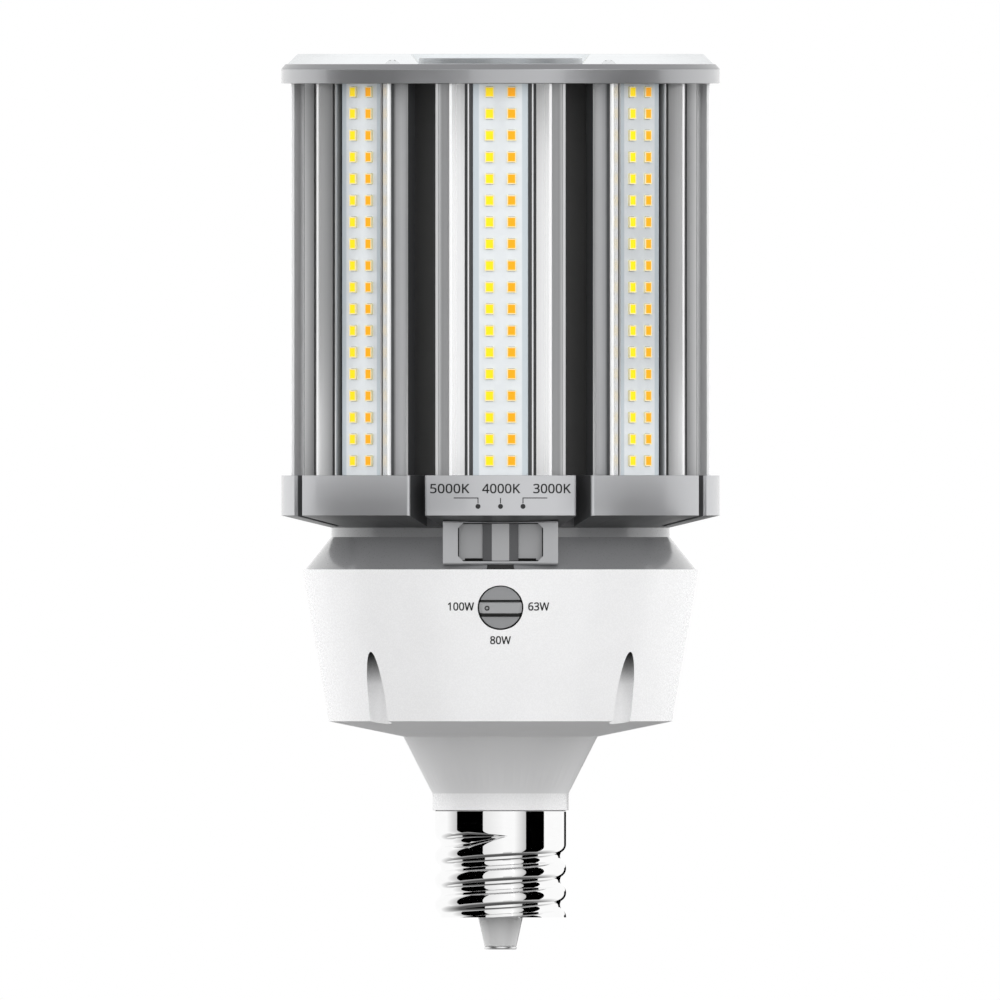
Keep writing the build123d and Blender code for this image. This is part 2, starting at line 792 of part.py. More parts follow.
# Top cap: dished disc with a hub, which holds the top board and its lens
with BuildPart() as top_cap:
    with BuildSketch(Plane.XZ):
        with BuildLine():
            Polyline(
                (hub_radius - hub_wall, strip_top),
                (cap_radius, strip_top),
                (cap_radius, cap_top - cap_chamfer_height),
                (cap_radius - cap_chamfer_width, cap_top),
                (cap_recess_radius, cap_top),
                (cap_recess_radius, cap_floor),
                (lens_seat_radius, cap_floor),
                (lens_seat_radius, cap_top),
                (hub_radius, cap_top),
                (hub_radius, hub_top),
                (0, hub_top),
                (0, hub_top - hub_wall),
                (hub_radius - hub_wall, hub_top - hub_wall),
                close=True,
            )
        make_face()
    revolve(axis=Axis.Z)
    with BuildSketch(Plane.XY.offset(strip_top)):
        with screw_places(screw_port_distance):
            Circle(screw_clear)
    extrude(amount=cap_plate, mode=Mode.SUBTRACT)
top_cap.part.label = "top_cap"
export_step(top_cap.part, "parts/top_cap.step")

with BuildPart() as top_led_board:
    with BuildSketch(Plane.XY.offset(top_board_bottom)):
        Circle(cap_recess_radius - seat_gap)
        Circle(lens_seat_radius + seat_gap, mode=Mode.SUBTRACT)
        with screw_places(screw_port_distance):
            Circle(screw_clear, mode=Mode.SUBTRACT)
    extrude(amount=board_thickness)
top_led_board.part.label = "top_led_board"
export_step(top_led_board.part, "parts/top_led_board.step")

for tint, turn in (("cool", 0), ("warm", 1)):
    with BuildPart() as top_leds:
        with BuildSketch(Plane.XY.offset(top_board_top)):
            for circle, count in ((top_inner_circle, top_inner_count), (top_outer_circle, top_outer_count)):
                with PolarLocations(circle, count, start_angle=(turn - 0.5) * 180 / count):
                    Rectangle(led_length, led_width)
        extrude(amount=led_height)
    top_leds.part.label = f"top_{tint}_leds"
    export_step(top_leds.part, f"parts/top_{tint}_leds.step")

with BuildPart() as top_lens:
    lens_foot = cap_radius - cap_chamfer_width - lens_inset
    lens_bore = hub_radius + press_gap
    with BuildSketch(Plane.XZ):
        with BuildLine():
            Polyline(
                (lens_bore, cap_top),
                (lens_bore + lens_inner_slope, lens_top),
                (lens_foot - lens_slope, lens_top),
                (lens_foot, cap_top),
                (lens_foot - lens_wall, cap_top),
                (lens_foot - lens_slope - lens_wall / 2, lens_top - lens_wall),
                (lens_bore + lens_inner_slope + lens_wall / 2, lens_top - lens_wall),
                (lens_bore + lens_wall, cap_top),
                close=True,
            )
        make_face()
    revolve(axis=Axis.Z)
top_lens.part.label = "top_lens"
export_step(top_lens.part, "parts/top_lens.step")

with BuildPart() as top_screws:
    with BuildSketch(Plane.XY.offset(top_board_top)):
        with screw_places(screw_port_distance):
            Circle(screw_head_radius)
    extrude(amount=screw_head_height)
    crowns = top_screws.edges().filter_by(GeomType.CIRCLE).group_by(Axis.Z)[-1]
    chamfer(crowns, screw_dome_height, screw_dome_width)
    with BuildSketch(Plane.XY.offset(top_board_top)):
        with screw_places(screw_port_distance):
            Circle(screw_radius)
    extrude(amount=-top_screw_length)
top_screws.part.label = "top_screws"
export_step(top_screws.part, "parts/top_screws.step")

# Driver inside the housing
with BuildPart() as driver_board:
    with BuildSketch(Plane.XY.offset(driver_board_bottom)):
        Circle(driver_board_radius)
    extrude(amount=driver_board_thickness)
driver_board.part.label = "driver_board"
export_step(driver_board.part, "parts/driver_board.step")

with BuildPart() as transformer:
    with BuildSketch(Plane.XY.offset(driver_board_top)):
        with Locations((-driver_parts_offset, 0)):
            RectangleRounded(transformer_width, transformer_length, transformer_round)
    extrude(amount=transformer_height)
transformer.part.label = "transformer"
export_step(transformer.part, "parts/transformer.step")

with BuildPart() as capacitors:
    with BuildSketch(Plane.XY.offset(driver_board_top)):
        with Locations((driver_parts_offset, 0)):
            with GridLocations(capacitor_spacing, capacitor_spacing, 1, 2):
                Circle(capacitor_radius)
    extrude(amount=capacitor_height)
capacitors.part.label = "capacitors"
export_step(capacitors.part, "parts/capacitors.step")

with BuildPart() as choke:
    with BuildSketch(Plane.XY.offset(driver_board_top)):
        with Locations((0, driver_parts_offset + choke_radius)):
            Circle(choke_radius)
            Circle(choke_radius - choke_winding, mode=Mode.SUBTRACT)
    extrude(amount=choke_height)
choke.part.label = "choke"
export_step(choke.part, "parts/choke.step")
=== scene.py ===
"""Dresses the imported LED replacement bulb: finished pieces, materials, selector marks and studio."""

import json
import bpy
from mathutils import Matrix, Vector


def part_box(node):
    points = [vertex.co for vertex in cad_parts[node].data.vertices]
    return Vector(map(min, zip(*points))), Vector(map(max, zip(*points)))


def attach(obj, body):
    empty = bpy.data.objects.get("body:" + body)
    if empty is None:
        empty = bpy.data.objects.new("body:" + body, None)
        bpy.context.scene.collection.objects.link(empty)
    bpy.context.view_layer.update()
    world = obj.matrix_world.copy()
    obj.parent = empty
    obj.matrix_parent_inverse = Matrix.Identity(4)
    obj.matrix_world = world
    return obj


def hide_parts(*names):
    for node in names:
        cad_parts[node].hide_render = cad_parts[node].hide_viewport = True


bl_info = {
    "name": "LED replacement bulb",
    "version": (1, 0, 0),
    "blender": (4, 5, 0),
    "location": "3D View > Sidebar > Lamp",
    "description": "Builds the finished pieces of a screw-base LED lamp round its CAD frame",
    "category": "Object",
}

from contextlib import contextmanager
from math import atan, cos, pi, radians, sin, sqrt, tau

import bpy
from bpy.props import FloatProperty, FloatVectorProperty, IntProperty, PointerProperty
from mathutils import Matrix, Vector

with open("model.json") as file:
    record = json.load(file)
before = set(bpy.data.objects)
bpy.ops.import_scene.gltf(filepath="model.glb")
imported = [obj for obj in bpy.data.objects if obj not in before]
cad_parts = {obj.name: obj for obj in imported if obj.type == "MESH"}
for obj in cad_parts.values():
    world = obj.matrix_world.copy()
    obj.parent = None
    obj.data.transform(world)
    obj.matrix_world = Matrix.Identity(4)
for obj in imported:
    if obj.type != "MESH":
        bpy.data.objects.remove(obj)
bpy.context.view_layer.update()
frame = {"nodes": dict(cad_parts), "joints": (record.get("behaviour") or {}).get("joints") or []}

MM = 0.001
BLACK, WHITE = (0, 0, 0, 1), (1, 1, 1, 1)
LETTERING = bpy.utils.system_resource("DATAFILES", path="fonts") + "/NotoSansHebrew-Regular.woff2"

# The strips stand round the axis, counted from the front one to the right
STRIPS = range(1, 9)
STRIP_TURN = tau / len(STRIPS)
SIDE_STRIPS = (3, 7)
# Each slanting strip, with the side of it that lies towards a side strip
SLANTING_STRIPS = {2: 1, 4: -1, 6: 1, 8: -1}
SCREW_PLACES = [(cos(a), sin(a)) for a in (pi / 4 + k * pi / 2 for k in range(4))]

# Places read from the frame
shell_low, shell_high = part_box("screw_shell")
housing_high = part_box("driver_housing")[1]
board_low, board_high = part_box("led_board_1")
leds_low, leds_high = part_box("cool_leds_1")
top_board_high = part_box("top_led_board")[1]
screws_low, screws_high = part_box("top_screws")
lens_low, lens_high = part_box("top_lens")
dial_joint = next(joint for joint in frame["joints"] if joint["name"] == "wattage")
dial_middle, dial_axis = Vector(dial_joint["pos_m"]), Vector(dial_joint["axis"])

# Measures of the CAD pieces, by which faces are found
BUCKET_BOTTOM, BUCKET_RADIUS = 67.7 * MM, 50.9 * MM
CHANNEL_CIRCLE, CHANNEL_RADIUS = 50.8 * MM, 3.8 * MM
CHANNEL_PALE, CHANNEL_DARK = 78.8 * MM, 88.4 * MM
DIAL_WELL, WELL_LIP = 6.95 * MM, 0.1 * MM
DIAL_GROOVE, GRIP_HALF = 0.75 * MM, 1.85 * MM
DIMPLE_OFFSET, DIMPLE_RADIUS, DIMPLE_FLOOR = 4.0 * MM, 0.75 * MM, 0.36 * MM
BEZEL_BACK, BEZEL_HALF, BEZEL_LOW, BEZEL_HIGH = 54.0 * MM, 17.4 * MM, 114.2 * MM, 127.2 * MM
NOTCH_BACK, NOTCH_HALF = 52.0 * MM, 4.2 * MM
WINDOW_HALF, WINDOW_LOW, WINDOW_HIGH = 12.7 * MM, 115.15 * MM, 126.65 * MM
WINDOW_FLOOR, WINDOW_FRONT = 55.67 * MM, 57.45 * MM
RING_RADIUS, LOBE_FOOT = 65.1 * MM, 61.0 * MM
LENS_SLOPE, LENS_INNER_SLOPE, LENS_BORE = 3.0 * MM, 2.3 * MM, 24.4 * MM
LED_LENGTH = 3.4 * MM


def colour(name, description, default):
    return FloatVectorProperty(
        name=name, description=description, subtype="COLOR", size=3, min=0, max=1, default=default
    )


def length(name, description, millimetres):
    return FloatProperty(name=name, description=description, unit="LENGTH", default=millimetres * MM)


def share(name, description, default):
    return FloatProperty(name=name, description=description, default=default, min=0)


def power(name, description, watts):
    return FloatProperty(name=name, description=description, subtype="POWER", default=watts, min=0)


def count(name, description, default):
    return IntProperty(name=name, description=description, default=default, min=2)


class LampColours(bpy.types.PropertyGroup):
    """Colours of the lamp's finishes."""

    housing: colour("Housing", "White moulded driver housing", (0.90, 0.90, 0.905))
    # Painted shade: the sloping neck is the housing's own white, darkened
    neck: colour("Neck", "Sloping neck of the housing", (0.70, 0.70, 0.705))
    collar: colour("Collar", "Grey moulded switch collar", (0.20, 0.202, 0.208))
    # Painted light: the bezel's face is the collar's grey, made lighter
    bezel: colour("Bezel", "Lighter face of the slider's bezel", (0.395, 0.4, 0.41))
    window: colour("Window floor", "Fixed floor of the slider's window", (0.31, 0.313, 0.32))
    # Painted shade: near black for the dial's hole, the dial's grooves and dimple border, and the collar's
    # notch and window edges
    well: colour("Dial well", "Dark gap round the dial", (0.015, 0.015, 0.015))
    selector: colour("Dial", "Grey dial", (0.28, 0.283, 0.29))
    grip: colour("Grips", "Lighter bar across the dial and the slider's ridge", (0.355, 0.358, 0.365))
    # Painted shade: the slider's slanting flanks are its grey, darkened
    flank: colour("Slider flanks", "Dark slanting sides of the slider", (0.075, 0.076, 0.08))
    ring: colour("Ring", "Grey paint of the ring", (0.53, 0.535, 0.55))
    # Painted shade: a dark, less metallic paint under the ring and between its lobes
    underside: colour("Underside", "Dull paint under the ring and between its lobes", (0.085, 0.086, 0.09))
    cap: colour("Cap", "Darker grey paint of the cap", (0.41, 0.414, 0.426))
    # Painted shade: the cap's sloping rim is its grey paint, darkened
    cap_rim: colour("Cap rim", "Sloping rim of the cap", (0.22, 0.222, 0.23))
    aluminium: colour("Aluminium", "Bright faces of the extrusions", (0.96, 0.963, 0.967))
    # Painted shade: the dark colour deep in the extrusions and in the gaps between them
    recess: colour("Recess", "Dull faces deep in the extrusions", (0.09, 0.092, 0.096))
    core: colour("Core", "Black tube behind the extrusions", (0.24, 0.24, 0.242))
    plating: colour("Plating", "Nickel plate of the screw shell", (0.96, 0.96, 0.96))
    nose: colour("Nose", "Insulator at the bottom of the base", (0.84, 0.84, 0.84))
    contact: colour("Contact", "Contact tip and the screws under the lens", (0.86, 0.86, 0.86))
    board: colour("Board", "White solder mask of the boards", (0.79, 0.825, 0.85))
    # A darker blue-grey border along the boards' long edges
    board_edge: colour("Board edge", "Bare border of the boards", (0.60, 0.66, 0.70))
    package: colour("Package", "Cream frame of an LED", (0.90, 0.81, 0.47))
    cool: colour("Cool phosphor", "Window of the cool white LEDs", (1.0, 0.71, 0.0))
    warm: colour("Warm phosphor", "Window of the warm white LEDs", (0.95, 0.385, 0.0))
    ink: colour("Ink", "Printed settings", (0.012, 0.012, 0.013))
    # Painted shade: the solder is darkened to stand for the shadow under each package
    solder: colour("Solder", "Shaded solder at the ends of the LEDs", (0.24, 0.235, 0.22))
    steel: colour("Steel", "Screws of the housing and the collar", (0.55, 0.55, 0.56))
    lens: colour("Lens", "Clear top lens", (0.97, 0.98, 0.985))


class LampSizes(bpy.types.PropertyGroup):
    """Sizes of what the finished pieces add to the frame."""

    moulding_edge: length("Moulding edge", "Rounding of the moulded edges", 0.22)
    casting_edge: length("Casting edge", "Rounding of the painted edges", 0.4)
    extrusion_edge: length("Extrusion edge", "Rounding of the extruded edges", 0.1)
    thread_pitch: length("Thread pitch", "Rise of the thread in one turn", 7.2)
    thread_depth: length("Thread depth", "Crest to root", 1.8)
    thread_valley: length("Thread valley", "Height of the root at the right of the shell", 20.45)
    thread_end: length("Thread end", "Height where the root runs out at the front", 33.2)
    thread_fade: length("Thread fade", "Rise over which the root runs out", 0.75)
    root_share: share("Root share", "Share of the thread's round that its root takes", 0.38)
    runout_lift: length("Run-out lift", "How far the root's end shifts up as it narrows", 0.5)
    shell_rim: length("Shell rim", "Rounding of the shell's top", 0.35)
    shell_mouth: length("Shell mouth", "Radius of the hole in the shell's bottom", 12.0)
    led_frame: length("LED frame", "Width of the frame round the window", 0.34)
    led_solder: length("LED solder", "What the solder adds at each end of a package", 0.1)
    led_recess: length("LED recess", "Depth of the window", 0.07)
    top_inner_circle: length("Inner circle", "Radius of the inner circle of top LEDs", 33.0)
    top_outer_circle: length("Outer circle", "Radius of the outer circle of top LEDs", 54.5)
    top_screw_circle: length("Screw circle", "Radius of the circle of top screws", 45.4)
    screw_head: length("Screw head", "Radius of a top screw's head", 2.5)
    letter_weight: length("Letter weight", "What is added to each side of the letters' strokes", 0.05)
    ink_lift: length("Ink lift", "Height of the print above its surface", 0.03)
    ink_room: length("Ink room", "What the ring's paint leaves for the print on it", 0.04)
    led_rows: count("LED rows", "Packages in one column", 18)
    top_inner_count: count("Inner count", "LEDs of one tint in the inner circle", 8)
    top_outer_count: count("Outer count", "LEDs of one tint in the outer circle", 16)


class LampStage(bpy.types.PropertyGroup):
    """Camera, light and floor."""

    view_width: length("View width", "Width of the picture", 296.8)
    view_height: length("View height", "Height of the picture's middle above the floor", 133.4)
    view_offset: length("View offset", "Picture's middle to the right of the axis", -0.15)
    horizon: share("Horizon", "Light from the sides", 2.05)
    zenith: share("Zenith", "Light from above", 0.92)
    rim_power: power("Rim", "Soft lamp behind, at the left; the right one has half of it", 2.0)
    key_power: power("Key", "Soft lamp at the front right", 1.2)
    floor_lift: share("Floor lift", "Lift of the floor towards white", 0.3)


# Selecting, editing and finishing


def nothing():
    """Leaves edit mode and deselects everything."""
    if bpy.context.mode != "OBJECT":
        bpy.ops.object.mode_set(mode="OBJECT")
    bpy.ops.object.select_all(action="DESELECT")


def only(obj):
    """Selects one object and makes it active."""
    nothing()
    obj.select_set(True)
    bpy.context.view_layer.objects.active = obj


@contextmanager
def editing(piece, kind=None, wanted=None):
    """Edit mode with the whole piece selected, or only the faces or edges that wanted() accepts."""
    only(piece)
    mesh = piece.data
    if wanted:
        for part in (*mesh.vertices, *mesh.edges, *mesh.polygons):
            part.select = False
        for part in mesh.polygons if kind == "FACE" else mesh.edges:
            part.select = wanted(part)
    bpy.ops.object.mode_set(mode="EDIT")
    if kind:
        bpy.ops.mesh.select_mode(type=kind)
    if not wanted:
        bpy.ops.mesh.select_all(action="SELECT")
    yield
    bpy.ops.object.mode_set(mode="OBJECT")


def settle(name):
    """Names the new primitive and puts its place into its mesh."""
    piece = bpy.context.object
    piece.name = name
    bpy.ops.object.transform_apply(location=True, rotation=True, scale=True)
    return piece


def apply_modifier(piece, kind, **settings):
    modifier = piece.modifiers.new(kind.lower(), kind)
    for key, value in settings.items():
        setattr(modifier, key, value)
    only(piece)
    bpy.ops.object.modifier_apply(modifier=modifier.name)


def from_node(node, name):
    """A merged copy of a CAD node's mesh, whose edges can then be rounded."""
    piece = bpy.data.objects.new(name, frame["nodes"][node].data.copy())
    bpy.context.scene.collection.objects.link(piece)
    piece.data.materials.clear()
    only(piece)
    bpy.ops.mesh.customdata_custom_splitnormals_clear()
    with editing(piece):
        bpy.ops.mesh.remove_doubles(threshold=0.002 * MM)
        bpy.ops.mesh.dissolve_limited(angle_limit=radians(0.4))
    return piece


def round_edges(piece, width, angle=40, segments=3, shade=50):
    """Rounds the sharp edges and shades the faces smooth between them."""
    apply_modifier(
        piece, "BEVEL", width=width, segments=segments, limit_method="ANGLE", angle_limit=radians(angle),
        use_clamp_overlap=True,
    )
    smooth(piece, shade)


def smooth(piece, angle=50):
    only(piece)
    bpy.ops.object.shade_smooth_by_angle(angle=radians(angle))
    apply_modifier(piece, "WEIGHTED_NORMAL", keep_sharp=True)


def choose(piece, finish):
    """Gives each face the number of its material."""
    for face in piece.data.polygons:
        face.material_index = finish(face)


def dress(piece, body, slot, *materials, replaces=()):
    """Gives a finished piece its materials and body, and hides the CAD nodes that it stands for; the slot is
    not used.
    """
    slots = piece.data.materials
    for place, material in enumerate(materials):
        if place < len(slots):
            slots[place] = material
        else:
            slots.append(material)
    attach(piece, body)
    if replaces:
        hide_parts(*replaces)


def paint(node, material):
    """Gives a CAD node that stays a material of its own."""
    for slot in frame["nodes"][node].material_slots:
        slot.material = material


def join(pieces, name):
    only(pieces[0])
    for piece in pieces:
        piece.select_set(True)
    bpy.ops.object.join()
    bpy.context.object.name = name
    return bpy.context.object


def copy_mesh(piece, name, matrix):
    """A copy of a piece with its own mesh, moved by a matrix."""
    twin = bpy.data.objects.new(name, piece.data.copy())
    twin.data.transform(matrix)
    bpy.context.scene.collection.objects.link(twin)
    return twin


def strip_matrix(number):
    return Matrix.Rotation((number - 1) * STRIP_TURN, 4, "Z")


def store(piece, name, value):
    """Writes one number to each vertex, for a material to read."""
    layer = piece.data.attributes.new(name, "FLOAT", "POINT")
    for vertex in piece.data.vertices:
        layer.data[vertex.index].value = value(vertex.co)


# Materials


def feed(tree, node, inputs):
    """Sets a node's inputs, or links those whose value is another node's output."""
    for key, value in inputs.items():
        if isinstance(value, bpy.types.NodeSocket):
            tree.links.new(value, node.inputs[key])
        else:
            node.inputs[key].default_value = value
    return node


def add(tree, kind, inputs=None, **settings):
    node = tree.nodes.new(kind)
    for key, value in settings.items():
        setattr(node, key, value)
    return feed(tree, node, inputs or {})


def start(name):
    material = bpy.data.materials.new(name)
    material.use_nodes = True
    tree = material.node_tree
    return material, tree, tree.nodes["Principled BSDF"]


def noise(tree, scale, detail=3.0, stretch=(1, 1, 1)):
    """Noise on the piece's own coordinates, in metres."""
    coordinates = add(tree, "ShaderNodeTexCoord").outputs["Object"]
    mapping = add(tree, "ShaderNodeMapping", {"Vector": coordinates, "Scale": stretch}).outputs["Vector"]
    texture = add(tree, "ShaderNodeTexNoise", {"Vector": mapping, "Scale": scale, "Detail": detail})
    return texture.outputs["Fac"]


def stored(tree, name):
    """A number that store() wrote to the vertices."""
    return add(tree, "ShaderNodeAttribute", attribute_name=name).outputs["Fac"]


def height_in(tree, coordinates):
    """Height in a kind of coordinates."""
    place = add(tree, "ShaderNodeTexCoord").outputs[coordinates]
    return add(tree, "ShaderNodeSeparateXYZ", {0: place}).outputs["Z"]


def spread(tree, value, low, high, start_at=0.3, end_at=0.7):
    """Maps a value onto a range."""
    limits = {"From Min": start_at, "From Max": end_at, "To Min": low, "To Max": high}
    return add(tree, "ShaderNodeMapRange", {"Value": value, **limits}).outputs["Result"]


def mix(tree, factor, *pair, **settings):
    """Mixes two colours, each a value or another node's output."""
    first, second = (c if isinstance(c, bpy.types.NodeSocket) else (*c, 1) for c in pair)
    node = add(tree, "ShaderNodeMix", data_type="RGBA", **settings)
    return feed(tree, node, {"Factor": factor, 6: first, 7: second}).outputs[2]


def clouded(tree, factor, value, by):
    """A colour that goes from a darker to a lighter shade."""
    return mix(tree, factor, *(tuple(min(1, c * k) for c in value) for k in (1 - by, 1 + by)))


def bump(tree, height, strength, distance):
    node = add(tree, "ShaderNodeBump", {"Height": height, "Strength": strength, "Distance": distance})
    return node.outputs["Normal"]


def lacquer(weight):
    """A clear layer that whitens the grazing edges."""
    return {"Coat Weight": weight, "Coat Roughness": 0.12}


def moulded(name, value, roughness, grain=2600, coat=0.0):
    """Moulded plastic: fine spark-eroded grain and faint cloudiness."""
    material, tree, shader = start(name)
    pits = noise(tree, grain, 2)
    feed(tree, shader, {
        "Base Color": clouded(tree, noise(tree, 90, 2), value, 0.025),
        "Roughness": spread(tree, pits, roughness - 0.06, roughness + 0.06),
        "Normal": bump(tree, pits, 0.04, 0.05 * MM),
    })
    if coat:
        feed(tree, shader, lacquer(coat))
    return material


def channelled(name, value, roughness):
    """Moulded plastic with a painted shadow that grows dark towards the deep end of the screwdriver
    channels.
    """
    material = moulded(name, value, roughness)
    tree = material.node_tree
    shader = tree.nodes["Principled BSDF"]
    plain = shader.inputs["Base Color"].links[0].from_socket
    # Painted shadow: black towards the channels' deep ends
    deep = spread(tree, height_in(tree, "Object"), 0, 0.97, CHANNEL_PALE, CHANNEL_DARK)
    feed(tree, shader, {"Base Color": mix(tree, deep, plain, (0.01, 0.01, 0.01))})
    return material


def painted(name, value, metallic, coat=0.0):
    """Satin metallic paint: slight orange peel and cloudiness."""
    material, tree, shader = start(name)
    cloud = noise(tree, 120, 3)
    feed(tree, shader, {
        "Base Color": clouded(tree, cloud, value, 0.02),
        "Roughness": spread(tree, cloud, 0.37, 0.41),
        "Metallic": metallic,
        "Normal": bump(tree, noise(tree, 2400, 2), 0.05, 0.03 * MM),
        **lacquer(coat),
    })
    return material


def extruded(name, bright, shade_colour):
    """Extruded aluminium: die lines along its length; a stored number sets its polish and paints light and
    shade: bright outside, white as a painted highlight, and dark as painted shade deep in its recesses.
    """
    material, tree, shader = start(name)
    lines = noise(tree, 1, 4, (2600, 2600, 14))
    polish_and_painted_light = stored(tree, "polish_and_painted_light")
    streaks = mix(tree, spread(tree, lines, 0, 1), (0.95, 0.95, 0.955), (1, 1, 1))
    feed(tree, shader, {
        "Base Color": mix(tree, 1.0, mix(tree, polish_and_painted_light, shade_colour, bright), streaks, blend_type="MULTIPLY"),
        "Roughness": spread(tree, polish_and_painted_light, 0.5, 0.26, 0, 1),
        "Metallic": spread(tree, polish_and_painted_light, 0.8, 0.1, 0.85, 1.5),
        "Normal": bump(tree, lines, 0.02, 0.03 * MM),
    })
    return material


def plated(name, value):
    """Bright nickel plate with a few soft drawing marks."""
    material, tree, shader = start(name)
    marks = noise(tree, 1, 3, (260, 260, 900))
    feed(tree, shader, {
        "Base Color": clouded(tree, marks, value, 0.02),
        "Roughness": spread(tree, marks, 0.01, 0.03),
        "Metallic": 1.0,
    })
    return material


def turned(name, value, roughness=0.34):
    """Satin steel with fine turning marks."""
    material, tree, shader = start(name)
    marks = noise(tree, 900, 4)
    feed(tree, shader, {
        "Base Color": clouded(tree, marks, value, 0.08),
        "Roughness": spread(tree, marks, roughness - 0.08, roughness + 0.08),
        "Metallic": 1.0,
    })
    return material


def solder_mask(name, value, edge):
    """White solder mask with a darker border and faint traces under it."""
    material, tree, shader = start(name)
    traces = noise(tree, 260, 2)
    mask = clouded(tree, spread(tree, traces, 0, 1, 0.45, 0.55), value, 0.012)
    border = spread(tree, stored(tree, "border"), 0, 1, 0.76, 0.80)
    feed(tree, shader, {
        "Base Color": mix(tree, border, mask, edge),
        "Roughness": spread(tree, traces, 0.28, 0.34),
        "Metallic": 0.3,
        "Normal": bump(tree, traces, 0.05, 0.03 * MM),
    })
    return material


def phosphor(name, value):
    """Silicone window with phosphor grains in it, and a faint painted glow."""
    material, tree, shader = start(name)
    grains = noise(tree, 5200, 2)
    feed(tree, shader, {
        "Base Color": clouded(tree, grains, value, 0.06),
        "Roughness": spread(tree, grains, 0.28, 0.4),
        "Specular IOR Level": 0.25,
        # A painted glow that lifts the window's colour
        "Emission Color": (*value, 1),
        "Emission Strength": 0.18,
        "Normal": bump(tree, grains, 0.1, 0.02 * MM),
    })
    return material


def printed(name, value):
    """Pad-printed ink with a slightly uneven cover."""
    material, tree, shader = start(name)
    cover = noise(tree, 2200, 2)
    feed(tree, shader, {
        "Base Color": clouded(tree, cover, value, 0.15),
        "Roughness": spread(tree, cover, 0.45, 0.6),
    })
    return material


def clear(name, value):
    """Clear thin lens: see-through, with a gloss that grows towards its edges."""
    material, tree, shader = start(name)
    tree.nodes.remove(shader)
    haze = noise(tree, 300, 2)
    through = add(tree, "ShaderNodeBsdfTransparent", {"Color": clouded(tree, haze, value, 0.01)})
    gloss = add(tree, "ShaderNodeBsdfGlossy", {"Roughness": spread(tree, haze, 0.03, 0.08)})
    edge = spread(tree, add(tree, "ShaderNodeLayerWeight").outputs["Facing"], 0.03, 0.3, 0.5, 1.0)
    blend = add(tree, "ShaderNodeMixShader", {"Fac": edge, 1: through.outputs[0], 2: gloss.outputs[0]})
    feed(tree, tree.nodes["Material Output"], {"Surface": blend.outputs[0]})
    return material


# Pieces


class LAMP_OT_screw_base(bpy.types.Operator):
    """Screw shell with its rolled thread, the insulator's nose and the contact tip"""

    bl_idname = "lamp.screw_base"
    bl_label = "Screw base"

    COLUMNS, ROWS = 400, 220
    TOP_LIP = 0.88
    SHARPEST = 0.001

    def execute(self, context):
        colours, sizes = context.scene.lamp_colours, context.scene.lamp_sizes
        plate = plated("nickel_plate", colours.plating)
        dress(self.shell(sizes), "lamp", "nickel_plate", plate, replaces=["screw_shell"])
        nose = from_node("base_insulator", "insulator_nose")
        round_edges(nose, 0.25 * MM)
        insulator = moulded("insulator", colours.nose, 0.2)
        dress(nose, "lamp", "base_insulator", insulator, replaces=["base_insulator"])
        tip = from_node("centre_contact", "contact_tip")
        round_edges(tip, 0.15 * MM)
        contact = turned("contact_plate", colours.contact)
        dress(tip, "lamp", "contact_plate", contact, replaces=["centre_contact"])
        return {"FINISHED"}

    def shell(self, sizes):
        """Bends a fine grid round the axis, rolls the thread into it and turns its rims in."""
        radius, height = shell_high.x, shell_high.z - shell_low.z
        nothing()
        bpy.ops.mesh.primitive_grid_add(x_subdivisions=self.COLUMNS, y_subdivisions=self.ROWS, size=1)
        piece = settle("screw_shell_plated")
        for vertex in piece.data.vertices:
            turn = (vertex.co.x + 0.5) * tau
            level = shell_low.z + (vertex.co.y + 0.5) * height
            rim = max(0, level - shell_high.z + sizes.shell_rim)
            rounded = sizes.shell_rim - sqrt(max(0, sizes.shell_rim ** 2 - rim * rim))
            reach = radius - rounded - self.groove(sizes, turn, level)
            vertex.co = (reach * cos(turn), reach * sin(turn), level)
        with editing(piece):
            bpy.ops.mesh.remove_doubles(threshold=0.001 * MM)
        self.turn_in(piece, shell_low.z, sizes.shell_mouth / radius)
        self.turn_in(piece, shell_high.z, self.TOP_LIP)
        with editing(piece):
            bpy.ops.mesh.normals_make_consistent(inside=False)
        bpy.ops.object.shade_smooth_by_angle(angle=radians(50))
        return piece

    def groove(self, sizes, turn, height):
        """Depth of the thread at an angle and a height.

        It has a tight round root and a wide round crest, and narrows to a point where it runs out.
        """
        half, depth = sizes.thread_pitch / 2, sizes.thread_depth
        steep = 2 * atan(depth / half)
        root = sizes.root_share * half / sin(steep)
        crest = half / sin(steep) - root
        rise = height - sizes.thread_valley - 2 * half * turn / tau
        turns = round(rise / (2 * half))
        bottom = sizes.thread_valley + 2 * half * (turn / tau + turns)
        narrow = min(1, max(self.SHARPEST, (sizes.thread_end - bottom) / sizes.thread_fade))
        away = abs(rise - turns * 2 * half - (1 - narrow) * sizes.runout_lift) / narrow
        if away > half:
            return 0
        if away < root * sin(steep):
            level = root - sqrt(root * root - away * away)
        else:
            level = depth - crest + sqrt(crest * crest - (half - away) ** 2)
        return (depth - level) * narrow

    def turn_in(self, piece, height, scale):
        """Extrudes a rim inwards to a share of its radius."""
        def on_rim(edge):
            return all(abs(piece.data.vertices[v].co.z - height) < 0.01 * MM for v in edge.vertices)

        with editing(piece, "EDGE", on_rim):
            bpy.ops.mesh.extrude_edges_move()
            bpy.ops.transform.resize(value=(scale, scale, 1), center_override=(0, 0, height))


